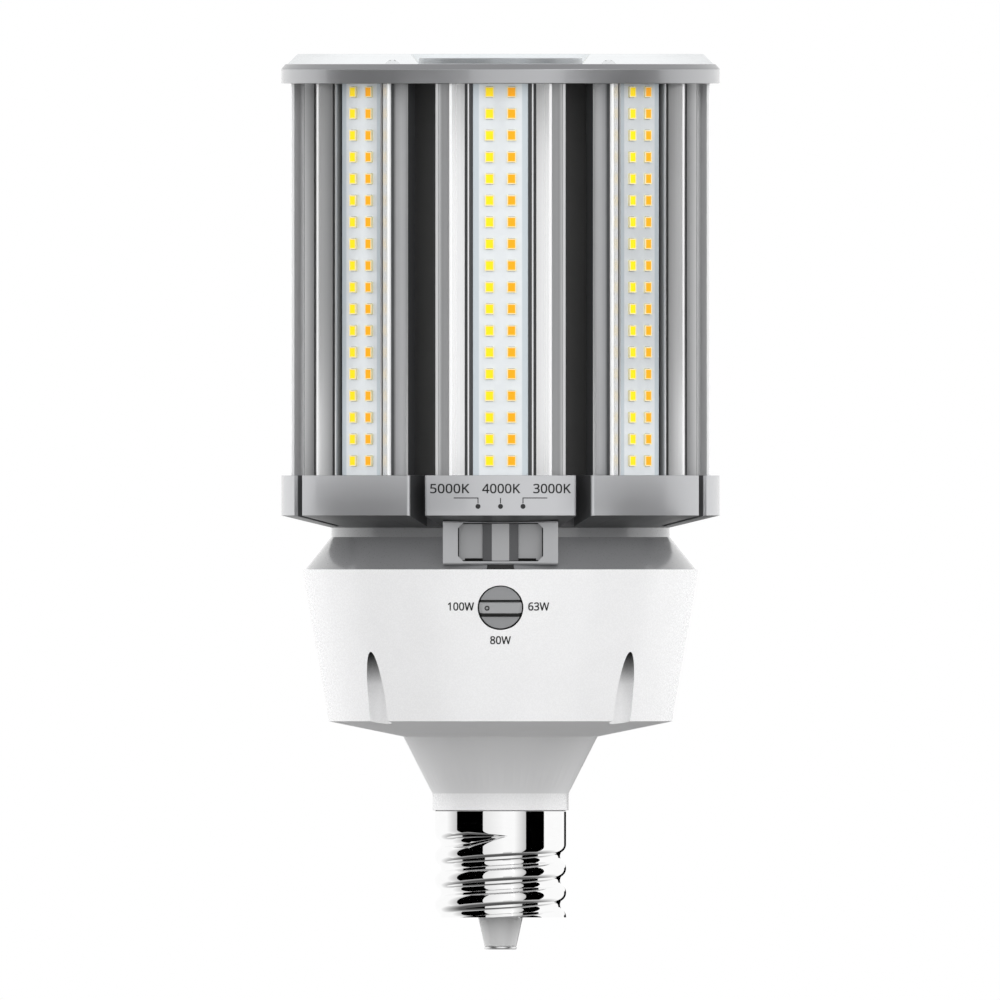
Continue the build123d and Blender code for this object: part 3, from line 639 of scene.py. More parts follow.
class LAMP_OT_driver_housing(bpy.types.Operator):
    """White driver housing and the screws in its channels"""

    bl_idname = "lamp.driver_housing"
    bl_label = "Driver housing"

    WALL, WELL, CHANNEL, NECK, UNDERSIDE = range(5)

    def execute(self, context):
        colours, sizes = context.scene.lamp_colours, context.scene.lamp_sizes
        housing = from_node("driver_housing", "housing_moulding")
        round_edges(housing, sizes.moulding_edge)
        choose(housing, self.finish)
        finishes = (
            moulded("white_moulding", colours.housing, 0.27),
            moulded("dial_well_painted_shade", colours.well, 0.6),
            channelled("screw_channel_painted_shadow", colours.housing, 0.27),
            moulded("housing_neck_painted_shade", colours.neck, 0.45),
            moulded("housing_underside", colours.housing, 0.65),
        )
        dress(housing, "lamp", "white_housing", *finishes, replaces=["driver_housing"])
        paint("housing_screws", turned("housing_screw_steel", colours.steel))
        return {"FINISHED"}

    def finish(self, face):
        """Plain wall, dial well in painted shade, screwdriver channel with a painted shadow, neck in painted
        shade, or underside.
        """
        # The wall of the dial's hole takes a near-black colour as painted shade
        if self.in_well(face.center):
            return self.WELL
        if any(self.in_channel(face, x * CHANNEL_CIRCLE, y * CHANNEL_CIRCLE) for x, y in SCREW_PLACES):
            return self.CHANNEL
        # The neck's faces take a darker white as painted shade
        if face.center.z < BUCKET_BOTTOM and face.normal.z < -0.2:
            return self.NECK if face.normal.z > -0.7 else self.UNDERSIDE
        return self.WALL

    def in_well(self, place):
        """Tells the wall of the dial's hole from the rest."""
        reach = place - dial_middle
        depth = reach.dot(dial_axis)
        return depth < -WELL_LIP and (reach - depth * dial_axis).length < DIAL_WELL

    def in_channel(self, face, x, y):
        """Tells the hollow wall of a screwdriver channel from the rest."""
        reach = Vector((face.center.x - x, face.center.y - y, 0))
        return reach.length < CHANNEL_RADIUS and reach.dot(face.normal) < 0 and abs(face.normal.z) < 0.5


class LAMP_OT_selectors(bpy.types.Operator):
    """Wattage dial and colour slider"""

    bl_idname = "lamp.selectors"
    bl_label = "Selectors"

    PLAIN, SHADE, GRIP = range(3)

    def execute(self, context):
        colours = context.scene.lamp_colours
        grey = moulded("selector_moulding", colours.selector, 0.4)
        # The dial's grooves and the dimple's border take near-black painted shade
        shade = moulded("dial_grooves_painted_shade", colours.well, 0.5)
        grip = moulded("grip_bar", colours.grip, 0.4)
        flank = moulded("slider_flanks_painted_shade", colours.flank, 0.5)
        dial = from_node("wattage_dial", "dial_knob")
        round_edges(dial, 0.12 * MM)
        self.ring_dimple(dial)
        choose(dial, self.dial_finish)
        dress(dial, "dial", "selector_grey", grey, shade, grip, replaces=["wattage_dial"])
        slider = from_node("cct_slider", "slider_ridge")
        round_edges(slider, 0.08 * MM, angle=18, segments=2, shade=16)
        # The slider's slanting flanks take a dark colour as painted shade
        choose(slider, lambda face: int(abs(face.normal.x) > 0.3 and face.normal.y < -0.1))
        dress(slider, "slider", "selector_grey", grip, flank, replaces=["cct_slider"])
        return {"FINISHED"}

    def from_dimple(self, place):
        """Distance from the axis of the dial's dimple."""
        reach = place - dial_middle - Vector((-DIMPLE_OFFSET, 0, 0))
        return (reach - reach.dot(dial_axis) * dial_axis).length

    def ring_dimple(self, dial):
        """Parts the dimple's floor from a border along its wall, which takes painted shade."""
        def is_floor(face):
            return face.normal.dot(dial_axis) > 0.99 and self.from_dimple(face.center) < 0.3 * MM

        with editing(dial, "FACE", is_floor):
            bpy.ops.mesh.inset(thickness=0.2 * MM, depth=0)

    def dial_finish(self, face):
        """Face of the dial, painted shade in the grooves and on the dimple's border, or grip bar."""
        reach = face.center - dial_middle
        if reach.dot(dial_axis) < -DIAL_GROOVE:
            return self.SHADE
        if DIMPLE_FLOOR < self.from_dimple(face.center) < DIMPLE_RADIUS:
            return self.SHADE
        on_bar = abs(reach.dot(dial_axis.cross(Vector((1, 0, 0))))) < GRIP_HALF
        return self.GRIP if on_bar else self.PLAIN


class LAMP_OT_switch_collar(bpy.types.Operator):
    """Grey collar with the slider's bezel"""

    bl_idname = "lamp.switch_collar"
    bl_label = "Switch collar"

    CONE, BEZEL, SHADE, FLOOR = range(4)

    def execute(self, context):
        colours = context.scene.lamp_colours
        collar = from_node("switch_collar", "collar_moulding")
        smooth(collar, 30)
        choose(collar, self.finish)
        finishes = (
            moulded("grey_moulding", colours.collar, 0.32, coat=1.0),
            moulded("bezel_moulding_painted_light", colours.bezel, 0.42),
            moulded("finger_notch_painted_shade", colours.well, 0.5),
            moulded("window_floor", colours.window, 0.42),
        )
        dress(collar, "lamp", "collar_grey", *finishes, replaces=["switch_collar"])
        return {"FINISHED"}

    def finish(self, face):
        """Cone, bezel made lighter as painted light, painted shade along the window's edges and in the
        notch, or window floor.
        """
        place = face.center
        across, front = abs(place.x), -place.y
        if across < WINDOW_HALF and WINDOW_LOW < place.z < WINDOW_HIGH and front < WINDOW_FRONT:
            if front > WINDOW_FLOOR and face.normal.y < -0.9:
                return self.FLOOR
            # The window's edges take a near-black colour as painted shade
            if front > BEZEL_BACK:
                return self.SHADE
        # The bezel's face is made lighter as painted light
        if front > BEZEL_BACK and across < BEZEL_HALF and BEZEL_LOW < place.z < BEZEL_HIGH:
            return self.BEZEL
        # The notch under the bezel takes near-black painted shade
        in_notch = front > NOTCH_BACK and across < NOTCH_HALF and housing_high.z < place.z < BEZEL_LOW
        return self.SHADE if in_notch else self.CONE


class LAMP_OT_castings(bpy.types.Operator):
    """Lower ring and top cap in grey paint"""

    bl_idname = "lamp.castings"
    bl_label = "Ring and cap"

    def execute(self, context):
        colours, sizes = context.scene.lamp_colours, context.scene.lamp_sizes
        ring = from_node("lower_ring", "ring_casting")
        fit = 1 - sizes.ink_room / RING_RADIUS
        ring.data.transform(Matrix.Diagonal((fit, fit, 1, 1)))
        round_edges(ring, sizes.casting_edge)
        choose(ring, self.ring_finish)
        wall = painted("ring_paint", colours.ring, 0.8, coat=0.8)
        underside = painted("ring_underside_painted_shade", colours.underside, 0.2)
        dress(ring, "lamp", "grey_paint", wall, underside, replaces=["lower_ring"])
        cap = from_node("top_cap", "cap_casting")
        round_edges(cap, sizes.casting_edge)
        choose(cap, self.cap_finish)
        wall = painted("cap_paint", colours.cap, 0.8, coat=1.0)
        rim = painted("cap_rim_painted_shade", colours.cap_rim, 0.8, coat=0.5)
        dress(cap, "lamp", "grey_paint", wall, rim, replaces=["top_cap"])
        return {"FINISHED"}

    def ring_finish(self, face):
        """Wall, or the faces under the ring and the walls between the lobes, whose dark colour is painted
        shade.
        """
        recessed = abs(face.normal.z) < 0.5 and face.center.xy.length < LOBE_FOOT
        return int(recessed or face.normal.z < -0.3)

    def cap_finish(self, face):
        """Wall, or the sloping rim, whose darker paint is painted shade."""
        return int(0.2 < face.normal.z < 0.97 and face.center.xy.length > lens_high.x)


class LAMP_OT_heat_sinks(bpy.types.Operator):
    """Eight extrusions and the black core behind them"""

    bl_idname = "lamp.heat_sinks"
    bl_label = "Heat sinks"

    # Zones of the section, in millimetres from its middle and out from the lamp's axis
    LIP_INSIDE, LIP_OUTSIDE, LIP_FOOT = 9.2, 9.9, 59.5
    WING_FROM, WING_ROOT, WING_WIDTH = 10.4, 10.6, 4.65
    WING_FOOT, WING_SLOPE, WING_SKIN = 60.0, 0.473, 0.3
    TIP_CUTS, TIP_FROM = (14.35, 14.5), 14.45
    HOLLOW_FROM, HOLLOW_FOOT = 11.0, 58.35
    FLANGE_FROM, FLANGE_FOOT, FLANGE_MIDDLE, FLANGE_HALF = 12.8, 56.8, 15.4, 2.7
    BEAD_FROM, BEAD_FOOT = 18.2, 57.3
    FIN_FROM = 19.2
    GAP_FROM, GAP_TOP = 19.3, 58.15
    # Polish of the zones, which also paints their light and shade: 0 is rough and dark as painted shade, 1
    # is bright metal, and the white value is a painted highlight
    SATIN, LIP, BEAD, FIN, DEEP, GAP = 1.5, 0.8, 0.62, 0.35, 0.06, 0.0
    # Polish and painted shade of the flanges and of the wings' roots, a darker root as painted shade on a
    # slanting strip's side towards a side strip, and how far a flange's polish and painted light fall off to
    # its edges
    SLANTING, STRAIGHT = (0.9, 0.9), (0.4, 0.88)
    DIM_ROOT, FLANGE_FALL = 0.3, 0.3

    def execute(self, context):
        colours, sizes = context.scene.lamp_colours, context.scene.lamp_sizes
        section = from_node("heat_sink_1", "extrusion")
        round_edges(section, sizes.extrusion_edge, angle=30)
        self.part_tips(section)
        aluminium = extruded("extruded_aluminium", colours.aluminium, colours.recess)
        for number in STRIPS:
            piece = copy_mesh(section, f"extrusion_{number}", Matrix.Identity(4))
            # Each vertex holds its polish, which also paints light and shade
            store(piece, "polish_and_painted_light", lambda place: self.polish_and_painted_light(place, number))
            piece.data.transform(strip_matrix(number))
            dress(piece, "lamp", "bare_aluminium", aluminium, replaces=[f"heat_sink_{number}"])
        bpy.data.objects.remove(section)
        core = from_node("core_tube", "core_sleeve")
        smooth(core, 35)
        dress(core, "lamp", "black_core", moulded("core_coating", colours.core, 0.6), replaces=["core_tube"])
        return {"FINISHED"}

    def part_tips(self, section):
        """Cuts the wings along their tips, so that each tip can have a bright line as a painted highlight.
        """
        with editing(section):
            for across in self.TIP_CUTS:
                for side in (-1, 1):
                    bpy.ops.mesh.select_all(action="SELECT")
                    bpy.ops.mesh.bisect(plane_co=(side * across * MM, 0, 0), plane_no=(1, 0, 0))
        smooth(section)

    def polish_and_painted_light(self, place, number):
        """Polish of each zone, which also paints light and shade: bright wings and beads, painted white
        highlights along the wings' tips and hollows, duller lips and flanges, and painted shade in the
        grooves, backs and gaps.
        """
        across, outward = abs(place.x) / MM, -place.y / MM
        flange, root = self.SLANTING if number in SLANTING_STRIPS else self.STRAIGHT
        # On a slanting strip, the side towards a side strip gets a darker wing root as painted shade
        if place.x * SLANTING_STRIPS.get(number, 0) > 0:
            root = self.DIM_ROOT
        wing = self.WING_FOOT + (across - self.WING_ROOT) * self.WING_SLOPE
        # The gaps between strips take painted shade
        if across > self.GAP_FROM and outward < self.GAP_TOP and number not in SIDE_STRIPS:
            return self.GAP
        if across > self.WING_FROM and outward > wing - self.WING_SKIN:
            if across > self.TIP_FROM:
                return self.SATIN
            return min(1, root + (1 - root) * (across - self.WING_ROOT) / self.WING_WIDTH)
        if across > self.HOLLOW_FROM and outward > self.HOLLOW_FOOT:
            return self.SATIN
        if across > self.BEAD_FROM and outward > self.BEAD_FOOT:
            return self.BEAD
        if self.LIP_INSIDE < across < self.LIP_OUTSIDE and outward > self.LIP_FOOT:
            return self.LIP
        if across > self.FIN_FROM:
            return self.FIN
        if across > self.FLANGE_FROM and outward > self.FLANGE_FOOT:
            fall = ((across - self.FLANGE_MIDDLE) / self.FLANGE_HALF) ** 2
            return flange * (1 - self.FLANGE_FALL * fall)
        return self.DEEP


class LAMP_OT_led_boards(bpy.types.Operator):
    """Boards on the extrusions and under the lens"""

    bl_idname = "lamp.led_boards"
    bl_label = "LED boards"

    def execute(self, context):
        colours = context.scene.lamp_colours
        mask = solder_mask("solder_mask", colours.board, colours.board_edge)
        strip = from_node("led_board_1", "strip_board")
        round_edges(strip, 0.1 * MM, segments=2)
        with editing(strip):
            bpy.ops.mesh.bisect(plane_co=(0, 0, 0), plane_no=(1, 0, 0))
        store(strip, "border", lambda place: abs(place.x) / board_high.x)
        for number in STRIPS:
            board = copy_mesh(strip, f"strip_board_{number}", strip_matrix(number))
            dress(board, "lamp", "board_white", mask, replaces=[f"led_board_{number}"])
        bpy.data.objects.remove(strip)
        top = from_node("top_led_board", "top_board")
        round_edges(top, 0.1 * MM, segments=2)
        store(top, "border", lambda place: 0.0)
        dress(top, "lamp", "board_white", mask, replaces=["top_led_board"])
        return {"FINISHED"}


class LAMP_OT_led_packages(bpy.types.Operator):
    """LED packages: a cream frame with a phosphor window and soldered ends"""

    bl_idname = "lamp.led_packages"
    bl_label = "LED packages"

    FRAME, WINDOW, SOLDER = range(3)
    FRAME_STEPS = (0.25, 0.75)
    SOLDER_WIDTH, SOLDER_RISE = 0.72, 0.4
    SOLDER_TAPER = (0.85, 1, 0.3)

    def execute(self, context):
        colours, sizes = context.scene.lamp_colours, context.scene.lamp_sizes
        plastic = moulded("package_frame", colours.package, 0.4, grain=6000)
        # The solder's dark colour is painted shade under each package
        solder = turned("solder", colours.solder)
        cool, warm = phosphor("cool_phosphor", colours.cool), phosphor("warm_phosphor", colours.warm)
        package = self.package(sizes, (plastic, cool, solder))
        for tint, side, glow in (("cool", -1, cool), ("warm", 1, warm)):
            finishes = (plastic, glow, solder)
            column = self.column(package, sizes, side)
            for number in STRIPS:
                strip = copy_mesh(column, f"{tint}_column_{number}", strip_matrix(number))
                dress(strip, "lamp", f"led_{tint}", *finishes, replaces=[f"{tint}_leds_{number}"])
            bpy.data.objects.remove(column)
            crown = self.crown(package, sizes, side, f"{tint}_crown")
            dress(crown, "lamp", f"led_{tint}", *finishes, replaces=[f"top_{tint}_leds"])
        bpy.data.objects.remove(package)
        return {"FINISHED"}

    def package(self, sizes, materials):
        """One package, facing -Y, with the middle of its back at the origin."""
        width, depth = leds_high.x - leds_low.x, board_low.y - leds_low.y
        tall, solder = LED_LENGTH, sizes.led_solder

        def faces_out(face):
            return face.normal.y < -0.9

        def body_finish(face):
            sunk = face.center.y > -depth + sizes.led_recess / 2
            return self.WINDOW if faces_out(face) and sunk else self.FRAME

        nothing()
        bpy.ops.mesh.primitive_cube_add(
            size=1, location=(0, -depth / 2, 0), scale=(width, depth, tall - 2 * solder)
        )
        body = settle("package")
        with editing(body, "FACE", faces_out):
            for step in self.FRAME_STEPS:
                bpy.ops.mesh.inset(thickness=sizes.led_frame * step, depth=0)
            bpy.ops.mesh.extrude_region_move(TRANSFORM_OT_translate={"value": (0, sizes.led_recess, 0)})
        choose(body, body_finish)
        parts = [body]
        for end in (-1, 1):
            nothing()
            bpy.ops.mesh.primitive_cube_add(
                size=1, location=(0, -depth * self.SOLDER_RISE / 2, end * (tall - solder) / 2),
                scale=(width * self.SOLDER_WIDTH, depth * self.SOLDER_RISE, solder),
            )
            fillet = settle("solder_fillet")
            with editing(fillet, "FACE", faces_out):
                root = (0, 0, end * (tall / 2 - solder))
                bpy.ops.transform.resize(value=self.SOLDER_TAPER, center_override=root)
            choose(fillet, lambda face: self.SOLDER)
            parts.append(fillet)
        for part in parts:
            for material in materials:
                part.data.materials.append(material)
        return join(parts, "package")

    def column(self, package, sizes, side):
        """A column of packages on the front strip."""
        pitch = (leds_high.z - leds_low.z - LED_LENGTH) / (sizes.led_rows - 1)
        across = abs(leds_low.x + leds_high.x) / 2
        place = Matrix.Translation((side * across, board_low.y, leds_low.z + LED_LENGTH / 2))
        column = copy_mesh(package, "column", place)
        apply_modifier(
            column, "ARRAY", count=sizes.led_rows, use_relative_offset=False, use_constant_offset=True,
            constant_offset_displace=(0, 0, pitch),
        )
        return column

    def crown(self, package, sizes, side, name):
        """Two circles of packages that face up under the lens."""
        parts = []
        circles = (
            (sizes.top_inner_circle, sizes.top_inner_count),
            (sizes.top_outer_circle, sizes.top_outer_count),
        )
        face_up = Matrix.Rotation(pi / 2, 4, "Z") @ Matrix.Rotation(-pi / 2, 4, "X")
        for circle, places in circles:
            out = Matrix.Translation((circle, 0, top_board_high.z)) @ face_up
            for place in range(places):
                turn = Matrix.Rotation(tau * (place + side / 4) / places, 4, "Z")
                parts.append(copy_mesh(package, name, turn @ out))
        return join(parts, name)


class LAMP_OT_top_lens(bpy.types.Operator):
    """Clear lens and the domed screws under it"""

    bl_idname = "lamp.top_lens"
    bl_label = "Top lens and screws"

    # The cross recess as shares of the head's radius and height, and the shank under the head
    SLOT_LENGTH, SLOT_WIDTH, SLOT_DEPTH = 1.1, 0.24, 0.8
    SHANK_RADIUS = 1.5 * MM

    def execute(self, context):
        colours, sizes = context.scene.lamp_colours, context.scene.lamp_sizes
        dress(self.sheet(), "lamp", "clear_lens", clear("clear_lens", colours.lens), replaces=["top_lens"])
        screw = self.screw(sizes)
        circle = sizes.top_screw_circle
        heads = join([
            copy_mesh(screw, "domed_screws", Matrix.Translation((x * circle, y * circle, 0)))
            for x, y in SCREW_PLACES
        ], "domed_screws")
        bpy.data.objects.remove(screw)
        smooth(heads, 40)
        steel = turned("screw_steel", colours.contact, 0.16)
        dress(heads, "lamp", "screw_steel", steel, replaces=["top_screws"])
        return {"FINISHED"}

    def sheet(self):
        """A thin clear wall: an outer slope, a flat top and an inner slope down to the hub."""
        levels = (
            (lens_high.x, lens_low.z),
            (lens_high.x - LENS_SLOPE, lens_high.z),
            (LENS_BORE + LENS_INNER_SLOPE, lens_high.z),
            (LENS_BORE, lens_low.z),
        )
        nothing()
        bpy.ops.mesh.primitive_circle_add(vertices=160, radius=levels[0][0], location=(0, 0, levels[0][1]))
        piece = settle("lens_ring")
        with editing(piece, "EDGE"):
            for (before, start_at), (after, end_at) in zip(levels, levels[1:]):
                ratio = after / before
                bpy.ops.mesh.extrude_edges_move()
                bpy.ops.transform.resize(value=(ratio, ratio, 1), center_override=(0, 0, start_at))
                bpy.ops.transform.translate(value=(0, 0, end_at - start_at))
            bpy.ops.mesh.select_all(action="SELECT")
            bpy.ops.mesh.normals_make_consistent(inside=False)
        round_edges(piece, 0.25 * MM, angle=30)
        return piece

    def screw(self, sizes):
        """A domed head with a cross recess, on its shank."""
        base, radius, low = top_board_high.z, sizes.screw_head, screws_low.z
        rise = screws_high.z - base
        nothing()
        bpy.ops.mesh.primitive_uv_sphere_add(segments=32, ring_count=16, radius=1, location=(0, 0, base))
        bpy.context.object.scale = (radius, radius, rise)
        head = settle("screw")
        with editing(head):
            bpy.ops.mesh.bisect(
                plane_co=(0, 0, base + 0.01 * MM), plane_no=(0, 0, -1), clear_outer=True, use_fill=True
            )
        for turn in (pi / 4, 3 * pi / 4):
            nothing()
            bpy.ops.mesh.primitive_cube_add(
                size=1, location=(0, 0, screws_high.z), rotation=(0, 0, turn),
                scale=(radius * self.SLOT_LENGTH, radius * self.SLOT_WIDTH, rise * self.SLOT_DEPTH),
            )
            slot = settle("slot")
            apply_modifier(head, "BOOLEAN", object=slot, operation="DIFFERENCE", solver="EXACT")
            bpy.data.objects.remove(slot)
        nothing()
        bpy.ops.mesh.primitive_cylinder_add(
            vertices=24, radius=self.SHANK_RADIUS, depth=base - low, location=(0, 0, (base + low) / 2)
        )
        return join([head, settle("shank")], "screw")


class LAMP_OT_selector_marks(bpy.types.Operator):
    """Printed settings of the dial and the slider, with dots and leader lines"""

    bl_idname = "lamp.selector_marks"
    bl_label = "Selector marks"

    # Each word: where its middle is across and in height, its width and how tall it is, in millimetres
    WATTS = (
        ("100W", -11.75, 101.8, 7.78, 2.46),
        ("80W", 0.0, 91.8, 6.17, 2.4),
        ("63W", 11.34, 101.8, 6.23, 2.46),
    )
    KELVIN = (
        ("5000K", -15.06, 136.8, 11.7, 2.85),
        ("4000K", 0.2, 136.8, 11.3, 2.85),
        ("3000K", 15.3, 136.8, 11.16, 2.85),
    )
    STOP = 6.68
    DOT_HEIGHT, DOT_RADIUS = 131.5, 0.74
    LEADER_FOOT, LEADER_HEIGHT = 132.4, 134.0
    LEADER_REACH, LEADER_WIDTH = 13.9, 0.28

    def execute(self, context):
        colours, sizes = context.scene.lamp_colours, context.scene.lamp_sizes
        ink = printed("printed_ink", colours.ink)
        watts = join([self.word(*mark, sizes.letter_weight) for mark in self.WATTS], "wattage_marks")
        self.wrap(watts, self.housing_radius, sizes.ink_lift)
        dress(watts, "lamp", "switch_black", ink)
        parts = [self.word(*mark, sizes.letter_weight) for mark in self.KELVIN]
        parts += [self.dot(x) for x in (-self.STOP, 0, self.STOP)]
        tall = self.LEADER_HEIGHT - self.LEADER_FOOT
        reach = self.LEADER_REACH - self.STOP + self.LEADER_WIDTH / 2
        for side in (-1, 0, 1):
            parts.append(self.bar(side * self.STOP, self.LEADER_FOOT + tall / 2, self.LEADER_WIDTH, tall))
            if side:
                middle = side * (self.STOP - self.LEADER_WIDTH / 2 + reach / 2)
                parts.append(self.bar(middle, self.LEADER_HEIGHT, reach, self.LEADER_WIDTH))
        kelvin = join(parts, "colour_marks")
        self.wrap(kelvin, lambda height: RING_RADIUS - sizes.ink_room, sizes.ink_lift)
        dress(kelvin, "lamp", "switch_black", ink)
        return {"FINISHED"}

    def word(self, text, across, height, width, tall, weight):
        """Lettering that stands in the XZ plane, fitted to a width and a height in millimetres."""
        nothing()
        bpy.ops.object.text_add()
        letters = bpy.context.object
        letters.data.body = text
        letters.data.font = bpy.data.fonts.load(LETTERING, check_existing=True)
        bpy.ops.object.convert(target="MESH")
        letters = bpy.context.object
        xs = [v.co.x for v in letters.data.vertices]
        ys = [v.co.y for v in letters.data.vertices]
        middle = Vector(((min(xs) + max(xs)) / 2, (min(ys) + max(ys)) / 2, 0))
        wide = (width * MM - 2 * weight) / (max(xs) - min(xs))
        high = (tall * MM - 2 * weight) / (max(ys) - min(ys))
        fit = Matrix.Diagonal((wide, high, 1, 1)) @ Matrix.Translation(-middle)
        stand = Matrix.Translation((across * MM, 0, height * MM)) @ Matrix.Rotation(pi / 2, 4, "X")
        shifts = [Vector((x * weight, y * weight, 0)) for x in (-1, 1) for y in (-1, 1)]
        copies = [copy_mesh(letters, text, stand @ Matrix.Translation(shift) @ fit) for shift in shifts]
        bpy.data.objects.remove(letters)
        return join(copies, text)

    def dot(self, across):
        nothing()
        bpy.ops.mesh.primitive_circle_add(
            vertices=24, radius=self.DOT_RADIUS * MM, fill_type="TRIFAN",
            location=(across * MM, 0, self.DOT_HEIGHT * MM), rotation=(pi / 2, 0, 0),
        )
        return settle("dot")

    def bar(self, across, height, width, tall):
        """A thin bar, cut across so that it can follow the curve."""
        nothing()
        place = (across * MM, 0, height * MM)
        bpy.ops.mesh.primitive_plane_add(size=1, location=place, rotation=(pi / 2, 0, 0))
        bpy.context.object.scale = (width * MM, tall * MM, 1)
        piece = settle("leader")
        with editing(piece):
            bpy.ops.mesh.subdivide(number_cuts=9)
        return piece

    def wrap(self, piece, radius_at, lift):
        """Lays flat marks on a round wall, facing outwards."""
        def faces_in(face):
            return face.normal.y > 0

        for vertex in piece.data.vertices:
            radius = radius_at(vertex.co.z) + lift
            vertex.co.y = -sqrt(radius * radius - vertex.co.x * vertex.co.x)
        with editing(piece):
            bpy.ops.mesh.quads_convert_to_tris()
        if any(faces_in(face) for face in piece.data.polygons):
            with editing(piece, "FACE", faces_in):
                bpy.ops.mesh.flip_normals()

    def housing_radius(self, height):
        """Radius of the housing's tapered wall."""
        up = (height - BUCKET_BOTTOM) / (housing_high.z - BUCKET_BOTTOM)
        return BUCKET_RADIUS + up * (housing_high.x - BUCKET_RADIUS)


class LAMP_OT_inner_parts(bpy.types.Operator):
    """Finishes for the pieces inside the housing and the collar"""

    bl_idname = "lamp.inner_parts"
    bl_label = "Inner parts"

    FINISHES = (
        ("driver_board", (0.03, 0.16, 0.07)),
        ("transformer", (0.62, 0.45, 0.06)),
        ("capacitors", (0.02, 0.02, 0.025)),
        ("choke", (0.42, 0.14, 0.04)),
        ("wattage_switch", (0.02, 0.02, 0.02)),
        ("cct_switch", (0.02, 0.02, 0.02)),
    )

    def execute(self, context):
        for node, value in self.FINISHES:
            paint(node, moulded(f"{node}_finish", value, 0.45))
        paint("collar_screws", turned("collar_screw_steel", context.scene.lamp_colours.steel))
        return {"FINISHED"}


class LAMP_OT_studio(bpy.types.Operator):
    """Camera, soft light, floor and the cards that the metal mirrors"""

    bl_idname = "lamp.studio"
    bl_label = "Studio"

    # Foot, top and distance from the axis of the cards round the base, the ring, the cap and the strips
    BASE, RING = (-0.04, 0.13, 0.1), (0.126, 0.139, 0.16)
    CAP, STRIP = (0.247, 0.285, 0.16), (0.165, 0.245, 0.16)
    BACK = (-0.2, 0.0465, 0.3)
    # Each dark card: its edges, in degrees to the right of the camera, and where it stands
    CARDS = (
        (-75.6, -28.0, BASE), (41.3, 75.6, BASE), (147.0, 169.1, BACK),
        (-95, -14, RING), (28, 80, RING),
        (-86, -13, CAP), (27, 76, CAP),
        (-82, -42, STRIP), (42, 82, STRIP),
    )
    # Soft flanks of the cards round the base: their edges, and how bright each edge is
    FLANKS = ((-100, -75.6, (1.0, 0.58)), (-28.0, 6, (0.8, 1.0)), (22, 41.3, (1.0, 0.55)))
    CARD_CUTS = 10
    CAMERA_DISTANCE = 1.2
    LAMP_SIZE, AIM = 0.5, Vector((0, 0, 0.14))
    FLOOR_RADIUS, FLOOR_DROP = 1.6, 0.2 * MM
    # What mirrors see of the world: white, and dark from below
    MIRROR_WHITE, MIRROR_DARK, DARK_FROM, DARK_TO = 1.0, 0.09, -0.38, -0.8

    def execute(self, context):
        scene, stage = context.scene, context.scene.lamp_stage
        self.camera(scene, stage)
        self.world(scene, stage)
        self.floor(stage)
        self.lamp("key", (0.55, -0.75, 0.62), stage.key_power)
        self.lamp("rim_left", (-0.75, 0.45, 0.3), stage.rim_power).visible_glossy = False
        self.lamp("rim_right", (0.75, 0.45, 0.3), stage.rim_power / 2).visible_glossy = False
        material = self.card_material()
        for first, last, stand in self.CARDS:
            self.card(material, first, last, *stand)
        for first, last, glow in self.FLANKS:
            self.card(material, first, last, *self.BASE, glow)
        scene.view_settings.view_transform = "Standard"
        return {"FINISHED"}

    def camera(self, scene, stage):
        nothing()
        place = (stage.view_offset, -self.CAMERA_DISTANCE, stage.view_height)
        bpy.ops.object.camera_add(location=place, rotation=(pi / 2, 0, 0))
        scene.camera = bpy.context.object
        scene.camera.data.type = "ORTHO"
        scene.camera.data.ortho_scale = stage.view_width

    def world(self, scene, stage):
        """White to the camera, and soft light on the lamp that is strongest from the sides."""
        world = scene.world or bpy.data.worlds.new("studio")
        scene.world = world
        world.use_nodes = True
        tree = world.node_tree
        tree.nodes.clear()

        def background(strength):
            return add(tree, "ShaderNodeBackground", {"Color": WHITE, "Strength": strength}).outputs[0]

        def blend(factor, first, second):
            return add(tree, "ShaderNodeMixShader", {"Fac": factor, 1: first, 2: second}).outputs[0]

        height = height_in(tree, "Generated")
        light = background(spread(tree, height, stage.horizon, stage.zenith, 0, 0.7))
        mirrored = background(
            spread(tree, height, self.MIRROR_WHITE, self.MIRROR_DARK, self.DARK_FROM, self.DARK_TO)
        )
        path = add(tree, "ShaderNodeLightPath").outputs
        direct = {0: path["Is Camera Ray"], 1: path["Is Transmission Ray"]}
        seen = add(tree, "ShaderNodeMath", direct, operation="MAXIMUM").outputs[0]
        unseen = blend(path["Is Glossy Ray"], light, mirrored)
        add(tree, "ShaderNodeOutputWorld", {"Surface": blend(seen, unseen, background(1.0))})

    def floor(self, stage):
        nothing()
        bpy.ops.mesh.primitive_circle_add(
            vertices=96, radius=self.FLOOR_RADIUS, fill_type="NGON", location=(0, 0, -self.FLOOR_DROP)
        )
        floor = settle("studio_floor")
        material, tree, shader = start("studio_floor")
        seen = add(tree, "ShaderNodeLightPath").outputs["Is Camera Ray"]
        pale = mix(tree, noise(tree, 6, 2), (0.80, 0.80, 0.80), (0.83, 0.83, 0.83))
        feed(tree, shader, {
            "Base Color": mix(tree, seen, (0.3, 0.3, 0.3), pale),
            "Roughness": 0.9,
            "Specular IOR Level": 0.0,
            "Emission Color": WHITE,
            "Emission Strength": spread(tree, seen, 0, stage.floor_lift, 0, 1),
        })
        floor.data.materials.append(material)
        floor.visible_glossy = False

    def lamp(self, name, place, watts):
        nothing()
        bpy.ops.object.light_add(type="AREA", location=place)
        lamp = bpy.context.object
        lamp.name = name
        lamp.data.energy = watts
        lamp.data.size = self.LAMP_SIZE
        lamp.rotation_euler = (self.AIM - Vector(place)).to_track_quat("-Z", "Y").to_euler()
        return lamp

    def card_material(self):
        """Black, with the light that a card's vertices hold."""
        material, tree, shader = start("dark_card")
        feed(tree, shader, {
            "Base Color": BLACK,
            "Specular IOR Level": 0.0,
            "Emission Color": WHITE,
            "Emission Strength": stored(tree, "glow"),
        })
        return material

